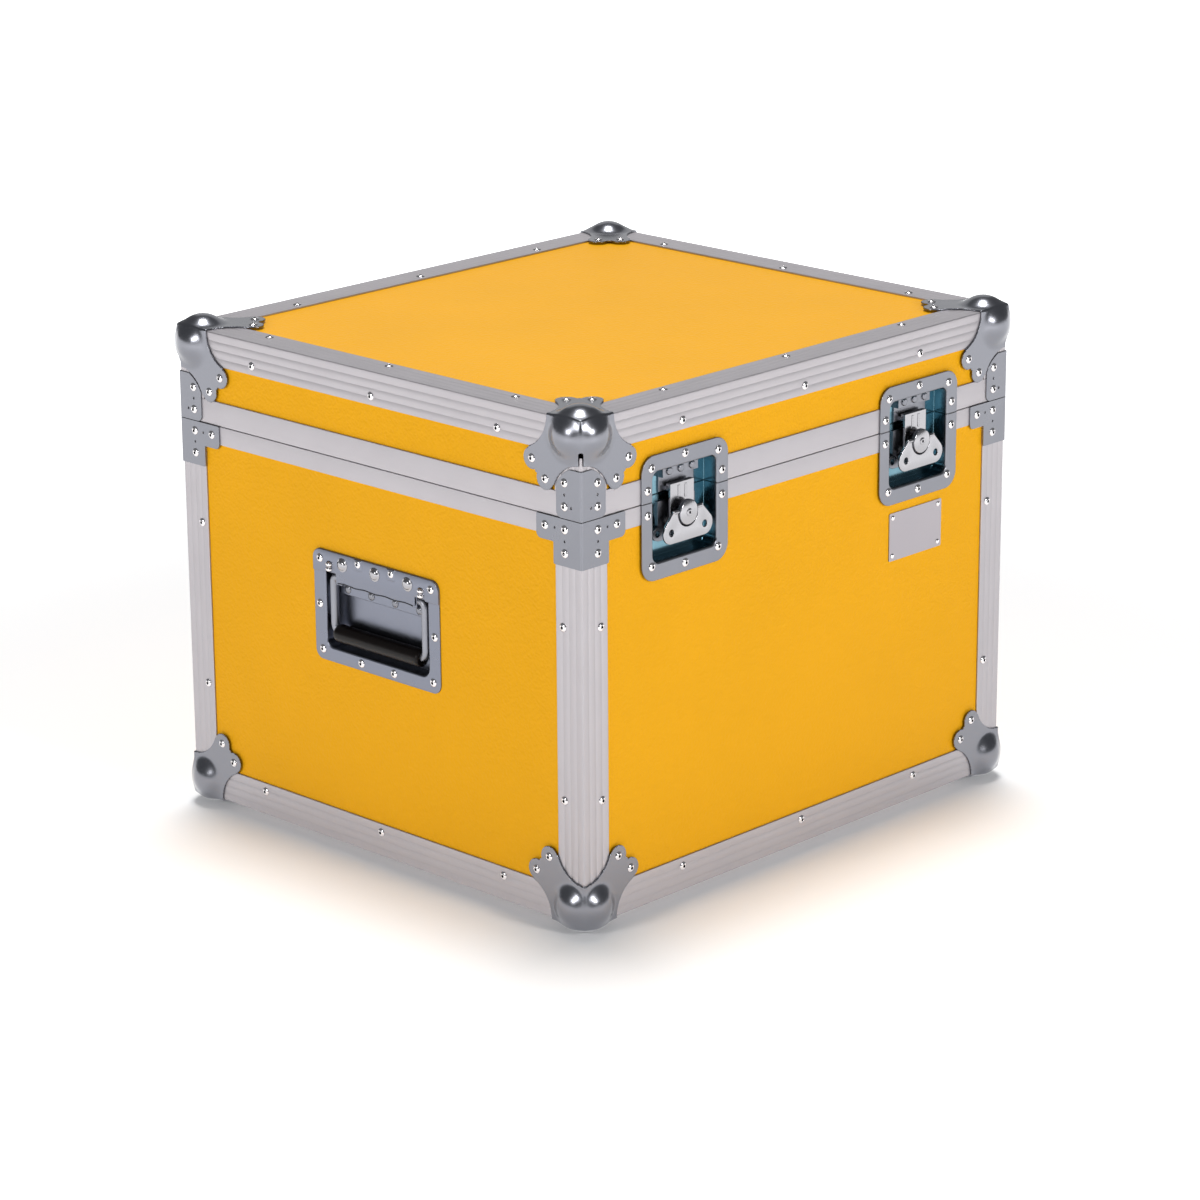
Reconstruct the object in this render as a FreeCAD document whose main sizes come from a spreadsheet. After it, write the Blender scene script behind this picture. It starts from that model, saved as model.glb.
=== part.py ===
"""Flight case: boards held in aluminium edging, ball corners, recessed latches and sprung handles.

Millimetres, +Z up, the front (latch side) faces -Y. The origin is under the middle of the case,
on the plane of the four small flats that the lower ball corners rest on.
"""
import FreeCAD, Part
import math
import os

import Sketcher
from FreeCAD import Rotation, Vector

SIZES = {
    # Whole case, over the outer faces of the edge extrusions
    "case_length": 556.0,
    "case_depth": 502.0,
    "case_height": 444.0,
    "lid_height": 85.6,
    "seam_gap": 0.4,
    # Boards, and the double-angle extrusions that hold their edges
    "board": 9.0,
    "edge_leg": 30.5,
    "edge_wall": 1.8,
    "edge_fin": 27.0,
    "edge_fin_wall": 1.5,
    "edge_end_gap": 0.5,
    # Tongue-and-groove rims where lid and base meet
    "base_rim_height": 17.4,
    "base_rim_web": 3.0,
    "lid_rim_height": 22.2,
    "lid_rim_web": 8.0,
    "tongue_inset": 4.0,
    "tongue_width": 4.0,
    "tongue_height": 3.5,
    "groove_clearance": 1.0,
    "mitre_gap": 0.2,
    # Ball corners, pressed from sheet
    "ball_radius": 24.9,
    "ball_inset": 15.2,
    "ball_sheet": 1.5,
    "ball_tip": 8.0,
    "foot_flat_depth": 0.5,
    "wing_rivet_near": 40.2,
    "wing_rivet_far": 55.3,
    "wing_lobe": 9.6,
    "wing_valley": 5.2,
    "arch_centre": 70.6,
    "arch_radius": 32.4,
    "ball_slot_width": 4.4,
    "ball_slot_start": 26.0,
    # Corner braces over the rim joints
    "brace_sheet": 1.2,
    "brace_round": 5.0,
    "lid_brace_width": 28.0,
    "lid_brace_height": 43.3,
    "brace_arch_gap": 1.5,
    "base_brace_leg": 31.3,
    "base_brace_height": 41.0,
    "base_brace_arm": 51.1,
    "base_brace_arm_height": 21.6,
    "brace_rivet_inset": 18.3,
    "brace_rivet_arm": 41.1,
    "base_brace_rivet_upper": 9.3,
    "base_brace_rivet_lower": 29.8,
    "lid_brace_rivet_lower": 10.5,
    "lid_brace_rivet_upper": 30.9,
    # Rivets
    "rivet_head_radius": 3.9,
    "rivet_head_height": 1.7,
    "rivet_shank_radius": 2.0,
    "rivet_mandrel_radius": 1.1,
    "rivet_mandrel_depth": 1.2,
    "rivet_hole_clearance": 0.1,
    "dome_head_radius": 5.0,
    "dome_head_height": 2.6,
    "edge_rivet_inset": 22.4,
    "edge_rivet_end_long": 122.5,
    "edge_rivet_end_deep": 97.2,
    "upright_rivet_low": 110.0,
    "upright_rivet_drop": 94.9,
    # Recessed latches: a dish split at the seam
    "latch_inset": 124.3,
    "latch_width": 106.5,
    "latch_above": 40.2,
    "latch_below": 69.0,
    "latch_flange_side": 13.75,
    "latch_flange_end": 15.0,
    "latch_sheet": 1.3,
    "latch_depth": 14.0,
    "latch_round": 15.0,
    "latch_inner_round": 7.0,
    "latch_bend": 2.0,
    "dish_clearance": 0.4,
    "latch_rivet_corner": 41.2,
    "latch_rivet_side": 46.0,
    "latch_rivet_side_rise": 10.8,
    "latch_rivet_top_corner": 29.4,
    "latch_rivet_top": 34.6,
    "latch_rivet_bottom_corner": 56.2,
    "latch_rivet_bottom": 61.3,
    # Latch rotor, wing, hook and strike; depths run inwards from the rim's outer face
    "rotor_offset": 3.4,
    "rotor_drop": 17.5,
    "rotor_radius": 11.0,
    "rotor_front": -2.8,
    "rotor_back": 1.3,
    "rotor_bevel": 1.0,
    "rotor_rivet_radius": 3.4,
    "rotor_rivet_height": 0.9,
    "cam_radius": 7.2,
    "cam_throw": 3.0,
    "cam_clearance": 0.3,
    "cam_lag": 0.64,
    "cam_back": 8.0,
    "shaft_radius": 4.0,
    "shaft_back": 12.6,
    "running_clearance": 0.05,
    "bed_width": 46.0,
    "bed_above": 11.0,
    "bed_below": 24.0,
    "bed_front": 12.2,
    "bed_boss_radius": 8.0,
    "bed_boss_front": 8.3,
    "bed_lobe_radius": 6.0,
    "bed_lobe_hole": 3.0,
    "bed_lobe_across": 24.5,
    "bed_lobe_drop": 17.0,
    "bed_lobe_front": 11.0,
    "wing_axis_rise": 2.4,
    "wing_axis_depth": -0.6,
    "wing_sheet": 2.0,
    "wing_hole_across": 20.6,
    "wing_hole_drop": 14.4,
    "wing_hole_radius": 3.0,
    "wing_tip_radius": 9.9,
    "wing_shoulder": 18.5,
    "wing_notch_radius": 12.3,
    "wing_ear_radius": 1.75,
    "wing_ear_start": 11.6,
    "wing_ear_end": 17.2,
    "trunnion_radius": 0.9,
    "trunnion_end": 16.6,
    "hook_width": 29.0,
    "hook_front": 5.5,
    "hook_sheet": 2.0,
    "hook_top": 8.0,
    "hook_bottom": 37.0,
    "hook_bend_height": 2.4,
    "hook_bend_reach": 5.0,
    "hook_rib_width": 2.2,
    "hook_rib_height": 0.5,
    "hook_rib_across": 4.2,
    "hook_rib_bottom": 6.0,
    "strike_width": 43.5,
    "strike_plate": 1.4,
    "strike_bar_width": 26.0,
    "strike_bar_bottom": 1.6,
    "strike_bar_top": 4.9,
    "strike_bar_front": 7.9,
    "strike_pad_bottom": 14.8,
    "strike_pad_top": 24.4,
    "strike_pad_front": 7.4,
    "strike_bump_radius": 3.6,
    "strike_bump_height": 1.8,
    "strike_bump_pitch": 14.0,
    # Bare plate under the right latch
    "badge_width": 72.7,
    "badge_height": 44.6,
    "badge_sheet": 1.0,
    "badge_drop": 100.4,
    "badge_round": 1.5,
    "badge_rivet_inset": 4.6,
    "badge_rivet_head_radius": 2.4,
    "badge_rivet_head_height": 1.0,
    # Sprung handles; depths run inwards from the front of the dish flange
    "handle_width": 158.8,
    "handle_height": 102.5,
    "handle_drop": 138.3,
    "handle_sheet": 1.2,
    "handle_round": 9.0,
    "handle_inner_round": 8.0,
    "handle_bend": 1.8,
    "handle_depth": 14.0,
    "handle_cavity_half": 65.0,
    "handle_cavity_top": 42.5,
    "handle_cavity_bottom": 38.2,
    "handle_rivet_corner": 70.3,
    "handle_rivet_top": 42.7,
    "handle_rivet_low": 41.7,
    "handle_rivet_side": 72.9,
    "handle_rivet_base": 20.8,
    "handle_rivet_base_drop": 44.8,
    "cover_sheet": 1.3,
    "cover_lower": 23.6,
    "cover_side_lower": 30.5,
    "cover_notch_start": 50.0,
    "cover_notch_end": 62.8,
    "cover_notch_top": 31.8,
    "cover_bump_width": 7.6,
    "cover_bump_height": 9.0,
    "cover_bump_rise": 37.1,
    "cover_bump_proud": 3.0,
    "cover_bump_round": 2.2,
    "cover_dome_pitch": 41.3,
    "cover_dome_rise": 41.6,
    "cover_tab_pitch": 21.0,
    "cover_tab_rise": 46.6,
    "bail_rod_radius": 3.8,
    "bail_half": 58.0,
    "bail_axis_rise": 27.4,
    "bail_axis_depth": 4.3,
    "bail_top_bend": 5.5,
    "bail_low_bend": 9.0,
    "stub_end": 43.0,
    "pivot_radius": 2.2,
    "pivot_end": 20.0,
    "grip_drop": 24.3,
    "grip_radius": 8.2,
    "grip_round": 2.5,
    "clamp_front": 8.6,
    "clamp_sheet": 1.2,
    "clamp_half": 56.0,
    "clamp_bottom": 11.2,
    "clamp_top": 40.5,
    "clamp_block_start": 44.0,
    "clamp_block_end": 51.0,
    "clamp_block_half": 5.8,
    "clamp_block_front": 0.3,
    "clamp_stud_radius": 3.5,
    "clamp_stud_rise": 16.3,
    "clamp_stud_pitch": 30.3,
    "spring_wire": 1.2,
    "spring_clearance": 0.4,
    "spring_start": 22.0,
    "spring_end": 42.0,
    # Stop hinges on the back
    "hinge_inset": 128.0,
    "hinge_width": 70.0,
    "hinge_leaf": 2.0,
    "hinge_base_drop": 16.6,
    "hinge_lid_rise": 21.4,
    "hinge_leaf_gap": 5.9,
    "hinge_web_gap": 2.0,
    "knuckle_radius": 3.6,
    "knuckle_gap": 0.6,
    "hinge_gap": 0.3,
    "hinge_pin_radius": 1.75,
    "hinge_pin_head_radius": 2.6,
    "hinge_pin_head": 1.2,
    "heel_radius": 5.6,
    "heel_start": 4.5,
    "heel_sweep": 30.0,
    "heel_seat_drop": 4.1,
    "heel_seat_depth": 3.2,
    "hinge_rivet_pitch": 24.0,
    "hinge_base_rivet": 11.3,
    "hinge_lid_rivet": 13.6,
}

KNUCKLES = 5
MARGIN = 1.0

doc = FreeCAD.newDocument("flight_case")
sheet = doc.addObject("Spreadsheet::Sheet", "dim")
for row, (alias, number) in enumerate(SIZES.items(), start=1):
    sheet.set(f"A{row}", alias)
    sheet.set(f"B{row}", str(number))
    sheet.setAlias(f"B{row}", alias)
doc.recompute()

# Planes that many pieces share, as expressions over the sheet
X = "(dim.case_length / 2)"
Y = "(dim.case_depth / 2)"
PROUD = "(dim.ball_radius - dim.ball_inset)"
BOTTOM = f"({PROUD} - dim.foot_flat_depth)"
TOP = f"({BOTTOM} + dim.case_height)"
SEAM = f"({TOP} - dim.lid_height)"
BASE_TOP = f"({SEAM} - dim.seam_gap / 2)"
LID_BOTTOM = f"({SEAM} + dim.seam_gap / 2)"
WALL = "dim.edge_wall"
INNER = "(dim.edge_wall + dim.board)"
CHANNEL = "(dim.edge_wall + dim.board + dim.edge_fin_wall)"
EDGE_END = "(dim.edge_leg + dim.edge_end_gap)"

TURN = {
    "x": Rotation(Vector(0, 1, 0), 90),
    "y": Rotation(Vector(1, 0, 0), -90),
    "z": Rotation(),
}
NODES = {}
RIVETS = {"base": [], "lid": []}


def value(expression):
    """Number that an expression over the sheet gives."""
    return float(sheet.evalExpression(expression))


def node(label, piece):
    """Name a finished sub-part; its label is its file's name."""
    piece.Label = label
    NODES[label] = piece
    return piece


def place(piece, x, y, z):
    """Bind where a piece stands."""
    piece.setExpression("Placement.Base.x", x)
    piece.setExpression("Placement.Base.y", y)
    piece.setExpression("Placement.Base.z", z)


def box(name, x, y, z):
    """Block between two planes on each axis."""
    block = doc.addObject("Part::Box", name)
    for side, (low, high) in zip(("Length", "Width", "Height"), (x, y, z)):
        block.setExpression(side, f"({high}) - ({low})")
    place(block, x[0], y[0], z[0])
    return block


def rod(name, axis, radius, start, length):
    """Cylinder from a start point along one axis."""
    bar = doc.addObject("Part::Cylinder", name)
    bar.Placement.Rotation = TURN[axis]
    bar.setExpression("Radius", radius)
    bar.setExpression("Height", length)
    place(bar, *start)
    return bar


def fuse(name, pieces):
    """One solid out of several that touch."""
    whole = doc.addObject("Part::MultiFuse", name)
    whole.Shapes = pieces
    whole.Refine = True
    return whole


def cut(name, base, tools):
    """Base with the tools taken out of it."""
    result = doc.addObject("Part::Cut", name)
    result.Base = base
    result.Tool = tools[0] if len(tools) == 1 else fuse(f"{name}_tools", tools)
    result.Refine = True
    return result


def mirror(name, source, normal):
    """Copy on the other side of a plane through the origin."""
    copy = doc.addObject("Part::Mirroring", name)
    copy.Source = source
    copy.Normal = Vector(*normal)
    return copy


def group(name, members):
    """Several separate solids in one node."""
    collection = doc.addObject("Part::Compound", name)
    collection.Links = members
    return collection


def quartered(name, corner):
    """The piece at the front left corner, and its copies at the other three."""
    right = mirror(f"{name}_right", corner, (1, 0, 0))
    back = mirror(f"{name}_back", corner, (0, 1, 0))
    far = mirror(f"{name}_far", right, (0, 1, 0))
    return group(f"{name}_group", [corner, right, back, far])


def rounded(name, base, radius, chosen):
    """Base with the chosen edges rounded."""
    doc.recompute()
    soft = doc.addObject("Part::Fillet", name)
    soft.Base = base
    size = value(radius)
    edges = base.Shape.Edges
    soft.Edges = [(i, size, size) for i, edge in enumerate(edges, start=1) if chosen(edge)]
    return soft


def runs_along(edge, axis, near, far):
    """Whether a straight edge runs along an axis at the given place across it."""
    ends = [vertex.Point for vertex in edge.Vertexes]
    if len(ends) != 2 or not isinstance(edge.Curve, (Part.Line, Part.LineSegment)):
        return False
    across = [i for i in range(3) if i != "xyz".index(axis)]
    return all(abs(end[i] - want) < 1e-4 for end in ends for i, want in zip(across, (near, far)))


def is_ring_at(edge, depth):
    """Whether an edge is a full circle whose plane stands at one depth along Y."""
    return len(edge.Vertexes) == 1 and abs(edge.Vertexes[0].Point.y - depth) < 1e-4


def profile_body(name, plane, offset, length, outlines):
    """Body padded from closed polygons, whose corners are pairs of expressions."""
    body = doc.addObject("PartDesign::Body", name)
    sketch = body.newObject("Sketcher::SketchObject", f"{name}_sketch")
    origin_plane = next(f for f in body.Origin.OriginFeatures if f.Role == plane)
    sketch.AttachmentSupport = [(origin_plane, "")]
    sketch.MapMode = "FlatFace"
    sketch.setExpression("AttachmentOffset.Base.z", offset)
    for corners in outlines:
        draw(sketch, corners)
    pad = body.newObject("PartDesign::Pad", f"{name}_pad")
    pad.Profile = sketch
    pad.setExpression("Length", length)
    return body


def draw(sketch, corners):
    """Closed polygon in a sketch, each corner bound to its two expressions."""
    points = [Vector(value(across), value(up), 0) for across, up in corners]
    first = sketch.GeometryCount
    count = len(points)
    for i in range(count):
        sketch.addGeometry(Part.LineSegment(points[i], points[(i + 1) % count]), False)
    for i in range(count):
        joint = Sketcher.Constraint("Coincident", first + i, 2, first + (i + 1) % count, 1)
        sketch.addConstraint(joint)
    for i, pair in enumerate(corners):
        for kind, expression, number in zip(("DistanceX", "DistanceY"), pair, points[i]):
            held = Sketcher.Constraint(kind, -1, 1, first + i, 1, number)
            index = sketch.addConstraint(held)
            sketch.setExpression(f"Constraints[{index}]", expression)


def rivet(side, face, along, up, seat, reach, head="plain"):
    """Note a rivet on a face: its place, the height of its seat, and the depth its shank reaches."""
    RIVETS[side].append((face, value(along), value(up), value(seat), value(reach), head))


def wall_rivets(side, inset, up, seat, reach):
    """Note a rivet near both ends of each of the four walls, at one height."""
    for sign in (-1, 1):
        for wall in ("front", "back"):
            rivet(side, wall, f"{sign} * ({X} - {inset})", up, seat, reach)
        for wall in ("left", "right"):
            rivet(side, wall, f"{sign} * ({Y} - {inset})", up, seat, reach)


def spread(middle, half):
    """Two places the same distance to either side of a middle."""
    return f"{middle} - {half}", f"{middle} + {half}"


# Double-angle extrusions


def edge_outlines(along_u, along_v):
    """Section of an edge: outer angle, two fins and a closed tube at the corner.

    along_u and along_v turn a distance from each outer face into a place.
    """
    outer = [
        ("0", "0"),
        ("dim.edge_leg", "0"),
        ("dim.edge_leg", WALL),
        (CHANNEL, WALL),
        (CHANNEL, INNER),
        ("dim.edge_fin", INNER),
        ("dim.edge_fin", CHANNEL),
        (CHANNEL, CHANNEL),
        (CHANNEL, "dim.edge_fin"),
        (INNER, "dim.edge_fin"),
        (INNER, CHANNEL),
        (WALL, CHANNEL),
        (WALL, "dim.edge_leg"),
        ("0", "dim.edge_leg"),
    ]
    tube = [(WALL, WALL), (INNER, WALL), (INNER, INNER), (WALL, INNER)]
    return [[(along_u(u), along_v(v)) for u, v in ring] for ring in (outer, tube)]


def edge_set(name, along_z):
    """Four horizontal edges of the base or the lid."""
    front = profile_body(
        f"{name}_front", "YZ_Plane", f"-({X} - {EDGE_END})", f"2 * ({X} - {EDGE_END})",
        edge_outlines(lambda u: f"-{Y} + {u}", along_z))
    left = profile_body(
        f"{name}_left", "XZ_Plane", f"-({Y} - {EDGE_END})", f"2 * ({Y} - {EDGE_END})",
        edge_outlines(lambda u: f"-{X} + {u}", along_z))
    back = mirror(f"{name}_back", front, (0, 1, 0))
    right = mirror(f"{name}_right", left, (1, 0, 0))
    return group(f"{name}_group", [front, back, left, right])


def uprights(name, low, high):
    """Four corner edges between two heights."""
    corner = profile_body(
        name, "XY_Plane", low, f"({high}) - ({low})",
        edge_outlines(lambda u: f"-{X} + {u}", lambda v: f"-{Y} + {v}"))
    return quartered(name, corner)


base_edges = edge_set("base_edge", lambda v: f"{BOTTOM} + {v}")
lid_edges = edge_set("lid_edge", lambda v: f"{TOP} - {v}")
base_uprights = uprights("base_upright", f"{BOTTOM} + {EDGE_END}", f"{SEAM} - dim.base_rim_height")
lid_uprights = uprights("lid_upright", f"{SEAM} + dim.lid_rim_height", f"{TOP} - {EDGE_END}")

for side, level, face in (("base", BOTTOM, "bottom"), ("lid", TOP, "top")):
    inset = f"{level} {'+' if side == 'base' else '-'} dim.edge_rivet_inset"
    for step in (-1, 0, 1):
        along = f"{step} * ({X} - dim.edge_rivet_end_long)"
        deep = f"{step} * ({Y} - dim.edge_rivet_end_deep)"
        for wall in ("front", "back"):
            rivet(side, wall, along, inset, "0", CHANNEL)
        for wall in ("left", "right"):
            rivet(side, wall, deep, inset, "0", CHANNEL)
        for sign in (-1, 1):
            rivet(side, face, along, f"{sign} * ({Y} - dim.edge_rivet_inset)", "0", CHANNEL)
            rivet(side, face, f"{sign} * ({X} - dim.edge_rivet_inset)", deep, "0", CHANNEL)
for height in (f"{BOTTOM} + dim.upright_rivet_low", f"{SEAM} - dim.upright_rivet_drop"):
    wall_rivets("base", "dim.edge_rivet_inset", height, "0", CHANNEL)


# Tongue-and-groove rims


def base_rim_outline(place_v):
    """Section of the base rim: a channel over the board's edge with a tongue on top."""
    low = f"{SEAM} - dim.base_rim_height"
    web = f"{SEAM} - dim.base_rim_web"
    crest = f"{BASE_TOP} + dim.tongue_height"
    tongue_end = "(dim.tongue_inset + dim.tongue_width)"
    section = [
        ("0", low), (WALL, low), (WALL, web), (INNER, web), (INNER, low), (CHANNEL, low),
        (CHANNEL, BASE_TOP), (tongue_end, BASE_TOP), (tongue_end, crest),
        ("dim.tongue_inset", crest), ("dim.tongue_inset", BASE_TOP), ("0", BASE_TOP),
    ]
    return [(place_v(v), z) for v, z in section]


def lid_rim_outline(place_v):
    """Section of the lid rim: a channel over the board's edge with a groove below."""
    high = f"{SEAM} + dim.lid_rim_height"
    web = f"{SEAM} + dim.lid_rim_web"
    groove_top = f"{BASE_TOP} + dim.tongue_height + dim.groove_clearance"
    groove_start = "(dim.tongue_inset - dim.groove_clearance)"
    groove_end = "(dim.tongue_inset + dim.tongue_width + dim.groove_clearance)"
    section = [
        ("0", LID_BOTTOM), (groove_start, LID_BOTTOM), (groove_start, groove_top),
        (groove_end, groove_top), (groove_end, LID_BOTTOM), (CHANNEL, LID_BOTTOM),
        (CHANNEL, high), (INNER, high), (INNER, web), (WALL, web), (WALL, high), ("0", high),
    ]
    return [(place_v(v), z) for v, z in section]


def mitred(name, bar, half, across, outer):
    """Bar with both ends cut at 45 degrees, so that it meets its neighbours at the corners.

    half is the bar's half length, across the axis it does not run along, outer its outer face.
    """
    body = bar
    sketch = body.newObject("Sketcher::SketchObject", f"{name}_mitre")
    plane = next(f for f in body.Origin.OriginFeatures if f.Role == "XY_Plane")
    sketch.AttachmentSupport = [(plane, "")]
    sketch.MapMode = "FlatFace"
    sketch.setExpression("AttachmentOffset.Base.z", TOP)
    for sign in ("-", ""):
        end = f"{sign}({half} + {MARGIN})"
        near = f"{sign}({half} + {MARGIN} - dim.mitre_gap / 2)"
        far = f"{sign}({half} - {CHANNEL} - {MARGIN} - dim.mitre_gap / 2)"
        low = f"-({outer} + {MARGIN})"
        high = f"-({outer} - {CHANNEL} - {MARGIN})"
        corners = [(end, low), (near, low), (far, high), (end, high)]
        draw(sketch, corners if across == "y" else [(b, a) for a, b in corners])
    pocket = body.newObject("PartDesign::Pocket", f"{name}_ends")
    pocket.Profile = sketch
    pocket.Type = "ThroughAll"
    return body


def rim_set(name, outline):
    """Four mitred rim bars of the base or the lid: front, back, left and right."""
    front = profile_body(f"{name}_front", "YZ_Plane", f"-{X}", f"2 * {X}", [outline(lambda v: f"-{Y} + {v}")])
    left = profile_body(f"{name}_left", "XZ_Plane", f"-{Y}", f"2 * {Y}", [outline(lambda v: f"-{X} + {v}")])
    mitred(f"{name}_front", front, X, "y", Y)
    mitred(f"{name}_left", left, Y, "x", X)
    back = mirror(f"{name}_back", front, (0, 1, 0))
    right = mirror(f"{name}_right", left, (1, 0, 0))
    return front, back, left, right


base_rims = rim_set("base_rim", base_rim_outline)
lid_rims = rim_set("lid_rim", lid_rim_outline)

# Latch places on the front, and the cut-outs that their dishes need
LATCHES = {"left": f"(-{X} + dim.latch_inset)", "right": f"({X} - dim.latch_inset)"}
LATCH_HALF = "(dim.latch_width / 2 - dim.latch_flange_side)"
LATCH_ROOM = f"({LATCH_HALF} + dim.latch_sheet + dim.dish_clearance)"
LATCH_CUT_LOW = f"({SEAM} - dim.latch_below + dim.latch_flange_end - dim.latch_sheet - dim.dish_clearance)"
LATCH_CUT_HIGH = f"({SEAM} + dim.latch_above - dim.latch_flange_end + dim.latch_sheet + dim.dish_clearance)"


def latch_cuts(name):
    """Blocks that clear both latch dishes through the front wall."""
    return [
        box(f"{name}_{side}", (f"{middle} - {LATCH_ROOM}", f"{middle} + {LATCH_ROOM}"),
            (f"-{Y} - {MARGIN}", f"-{Y} + dim.latch_depth + dim.latch_sheet + {MARGIN}"),
            (LATCH_CUT_LOW, LATCH_CUT_HIGH))
        for side, middle in LATCHES.items()
    ]


# Boards


def wall_boards(name, low, high):
    """Front, back, left and right boards between two heights."""
    long_span = (f"-{X} + {CHANNEL}", f"{X} - {CHANNEL}")
    deep_span = (f"-{Y} + {CHANNEL}", f"{Y} - {CHANNEL}")
    front = box(f"{name}_front", long_span, (f"-{Y} + {WALL}", f"-{Y} + {INNER}"), (low, high))
    back = box(f"{name}_back", long_span, (f"{Y} - {INNER}", f"{Y} - {WALL}"), (low, high))
    left = box(f"{name}_left", (f"-{X} + {WALL}", f"-{X} + {INNER}"), deep_span, (low, high))
    return front, back, left


def flat_board(name, low, high):
    """Floor or top board between two heights."""
    return box(name, (f"-{X} + {CHANNEL}", f"{X} - {CHANNEL}"), (f"-{Y} + {CHANNEL}", f"{Y} - {CHANNEL}"),
               (low, high))


base_walls = wall_boards("base_board", f"{BOTTOM} + {CHANNEL}", f"{SEAM} - dim.base_rim_web")
lid_walls = wall_boards("lid_board", f"{SEAM} + dim.lid_rim_web", f"{TOP} - {CHANNEL}")
floor_board = flat_board("floor_board", f"{BOTTOM} + {WALL}", f"{BOTTOM} + {INNER}")
top_board = flat_board("top_board", f"{TOP} - {INNER}", f"{TOP} - {WALL}")
base_front_board = cut("base_front_cut", base_walls[0], latch_cuts("base_front_room"))
lid_front_board = cut("lid_front_cut", lid_walls[0], latch_cuts("lid_front_room"))
base_front_rim = cut("base_rim_cut", base_rims[0], latch_cuts("base_rim_room"))
lid_front_rim = cut("lid_rim_cut", lid_rims[0], latch_cuts("lid_rim_room"))


# Ball corners


def wing_plate(sheet_size):
    """Lobed wing that lies on one face, as a plate just below z = 0, with the case's corner at the origin."""
    near = value("dim.wing_rivet_near")
    far = value("dim.wing_rivet_far")
    lobe = value("dim.wing_lobe")
    valley = value("dim.wing_valley")
    arch = Vector(value("dim.arch_centre"), 0, 0)
    arch_radius = value("dim.arch_radius")
    first = Vector(far, near, 0)
    tangent = arch + (first - arch).normalize() * arch_radius
    half_outline = [Vector(tangent.x, -sheet_size, 0), tangent, first, first + Vector(valley, valley, 0)]
    mirrored = [Vector(p.y, p.x, 0) for p in reversed(half_outline)]
    outline = [Vector(-sheet_size, -sheet_size, 0), *half_outline, *mirrored]
    down = Vector(0, 0, -sheet_size)
    plate = Part.Face(Part.makePolygon([*outline, outline[0]])).extrude(down)
    axis = Vector(0, 0, -1)
    lobes = [Part.makeCylinder(lobe, sheet_size, Vector(*p), axis) for p in ((far, near, 0), (near, far, 0))]
    low = Vector(0, 0, -sheet_size - MARGIN)
    arches = [
        Part.makeCylinder(arch_radius, sheet_size + 2 * MARGIN, low + place_on_edge)
        for place_on_edge in (arch, Vector(0, arch.x, 0))
    ]
    return plate.fuse(lobes).cut(arches)


def ball_corner(is_base):
    """One pressed corner with its point at the origin and the case on the positive side of all axes."""
    sheet_size = value("dim.ball_sheet")
    radius = value("dim.ball_radius")
    inset = value("dim.ball_inset")
    centre = Vector(inset, inset, inset)
    plate = wing_plate(sheet_size)
    wings = [plate]
    for step in (1, 2):
        turned = plate.copy()
        turned.rotate(Vector(), Vector(1, 1, 1), 120 * step)
        wings.append(turned)
    reach = 2 * value("dim.arch_centre")
    tip = value("dim.ball_tip")
    inside = Part.makeBox(reach, reach, reach).cut(Part.makeBox(tip, tip, tip))
    low = -sheet_size - MARGIN
    point = Part.makeBox(tip - low, tip - low, tip - low, Vector(low, low, low))
    wings = [wing.cut(point) for wing in wings]
    shell = Part.makeSphere(radius, centre).fuse(wings)
    shell = shell.cut([Part.makeSphere(radius - sheet_size, centre), inside])
    if is_base:
        depth = radius - inset - value("dim.foot_flat_depth")
        flat = Part.makeBox(reach, reach, reach, Vector(-reach / 2, -reach / 2, -depth - reach))
        shell = shell.cut(flat)
    else:
        side = value("dim.ball_slot_width") / math.sqrt(2) + MARGIN
        corner = -sheet_size - MARGIN
        start = value("dim.ball_slot_start")
        slot = Part.makeBox(side, side, value("dim.arch_centre") - start, Vector(corner, corner, start))
        shell = shell.cut(slot)
    return shell.removeSplitter()


def ball_corners(name, is_base):
    """Four corners of the base or the lid."""
    corner = doc.addObject("Part::Feature", name)
    shape = ball_corner(is_base)
    if not is_base:
        shape = shape.mirror(Vector(), Vector(0, 0, 1))
    corner.Shape = shape
    place(corner, f"-{X}", f"-{Y}", BOTTOM if is_base else TOP)
    return quartered(name, corner)


base_balls = ball_corners("base_ball", True)
lid_balls = ball_corners("lid_ball", False)

WING_RIVETS = (
    ("dim.wing_rivet_near", "dim.wing_rivet_far"),
    ("dim.wing_rivet_far", "dim.wing_rivet_near"),
)
for side, level, turn, face in (("base", BOTTOM, "+", "bottom"), ("lid", TOP, "-", "top")):
    for across, up in WING_RIVETS:
        wall_rivets(side, across, f"{level} {turn} {up}", "dim.ball_sheet", INNER)
        for sign in (-1, 1):
            for other in (-1, 1):
                rivet(side, face, f"{sign} * ({X} - {across})", f"{other} * ({Y} - {up})",
                      "dim.ball_sheet", INNER)


# Corner braces


def brace_legs(name, outline):
    """Two plates of one brace, on the front and on the left face, joined at the case's edge."""
    front = profile_body(
        f"{name}_front", "XZ_Plane", Y, "dim.brace_sheet",
        [[(f"-{X} + {across}", z) for across, z in outline]])
    left = profile_body(
        f"{name}_left", "YZ_Plane", f"-{X} - dim.brace_sheet", "dim.brace_sheet",
        [[(f"-{Y} + {across}", z) for across, z in outline]])
    return front, left


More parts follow.
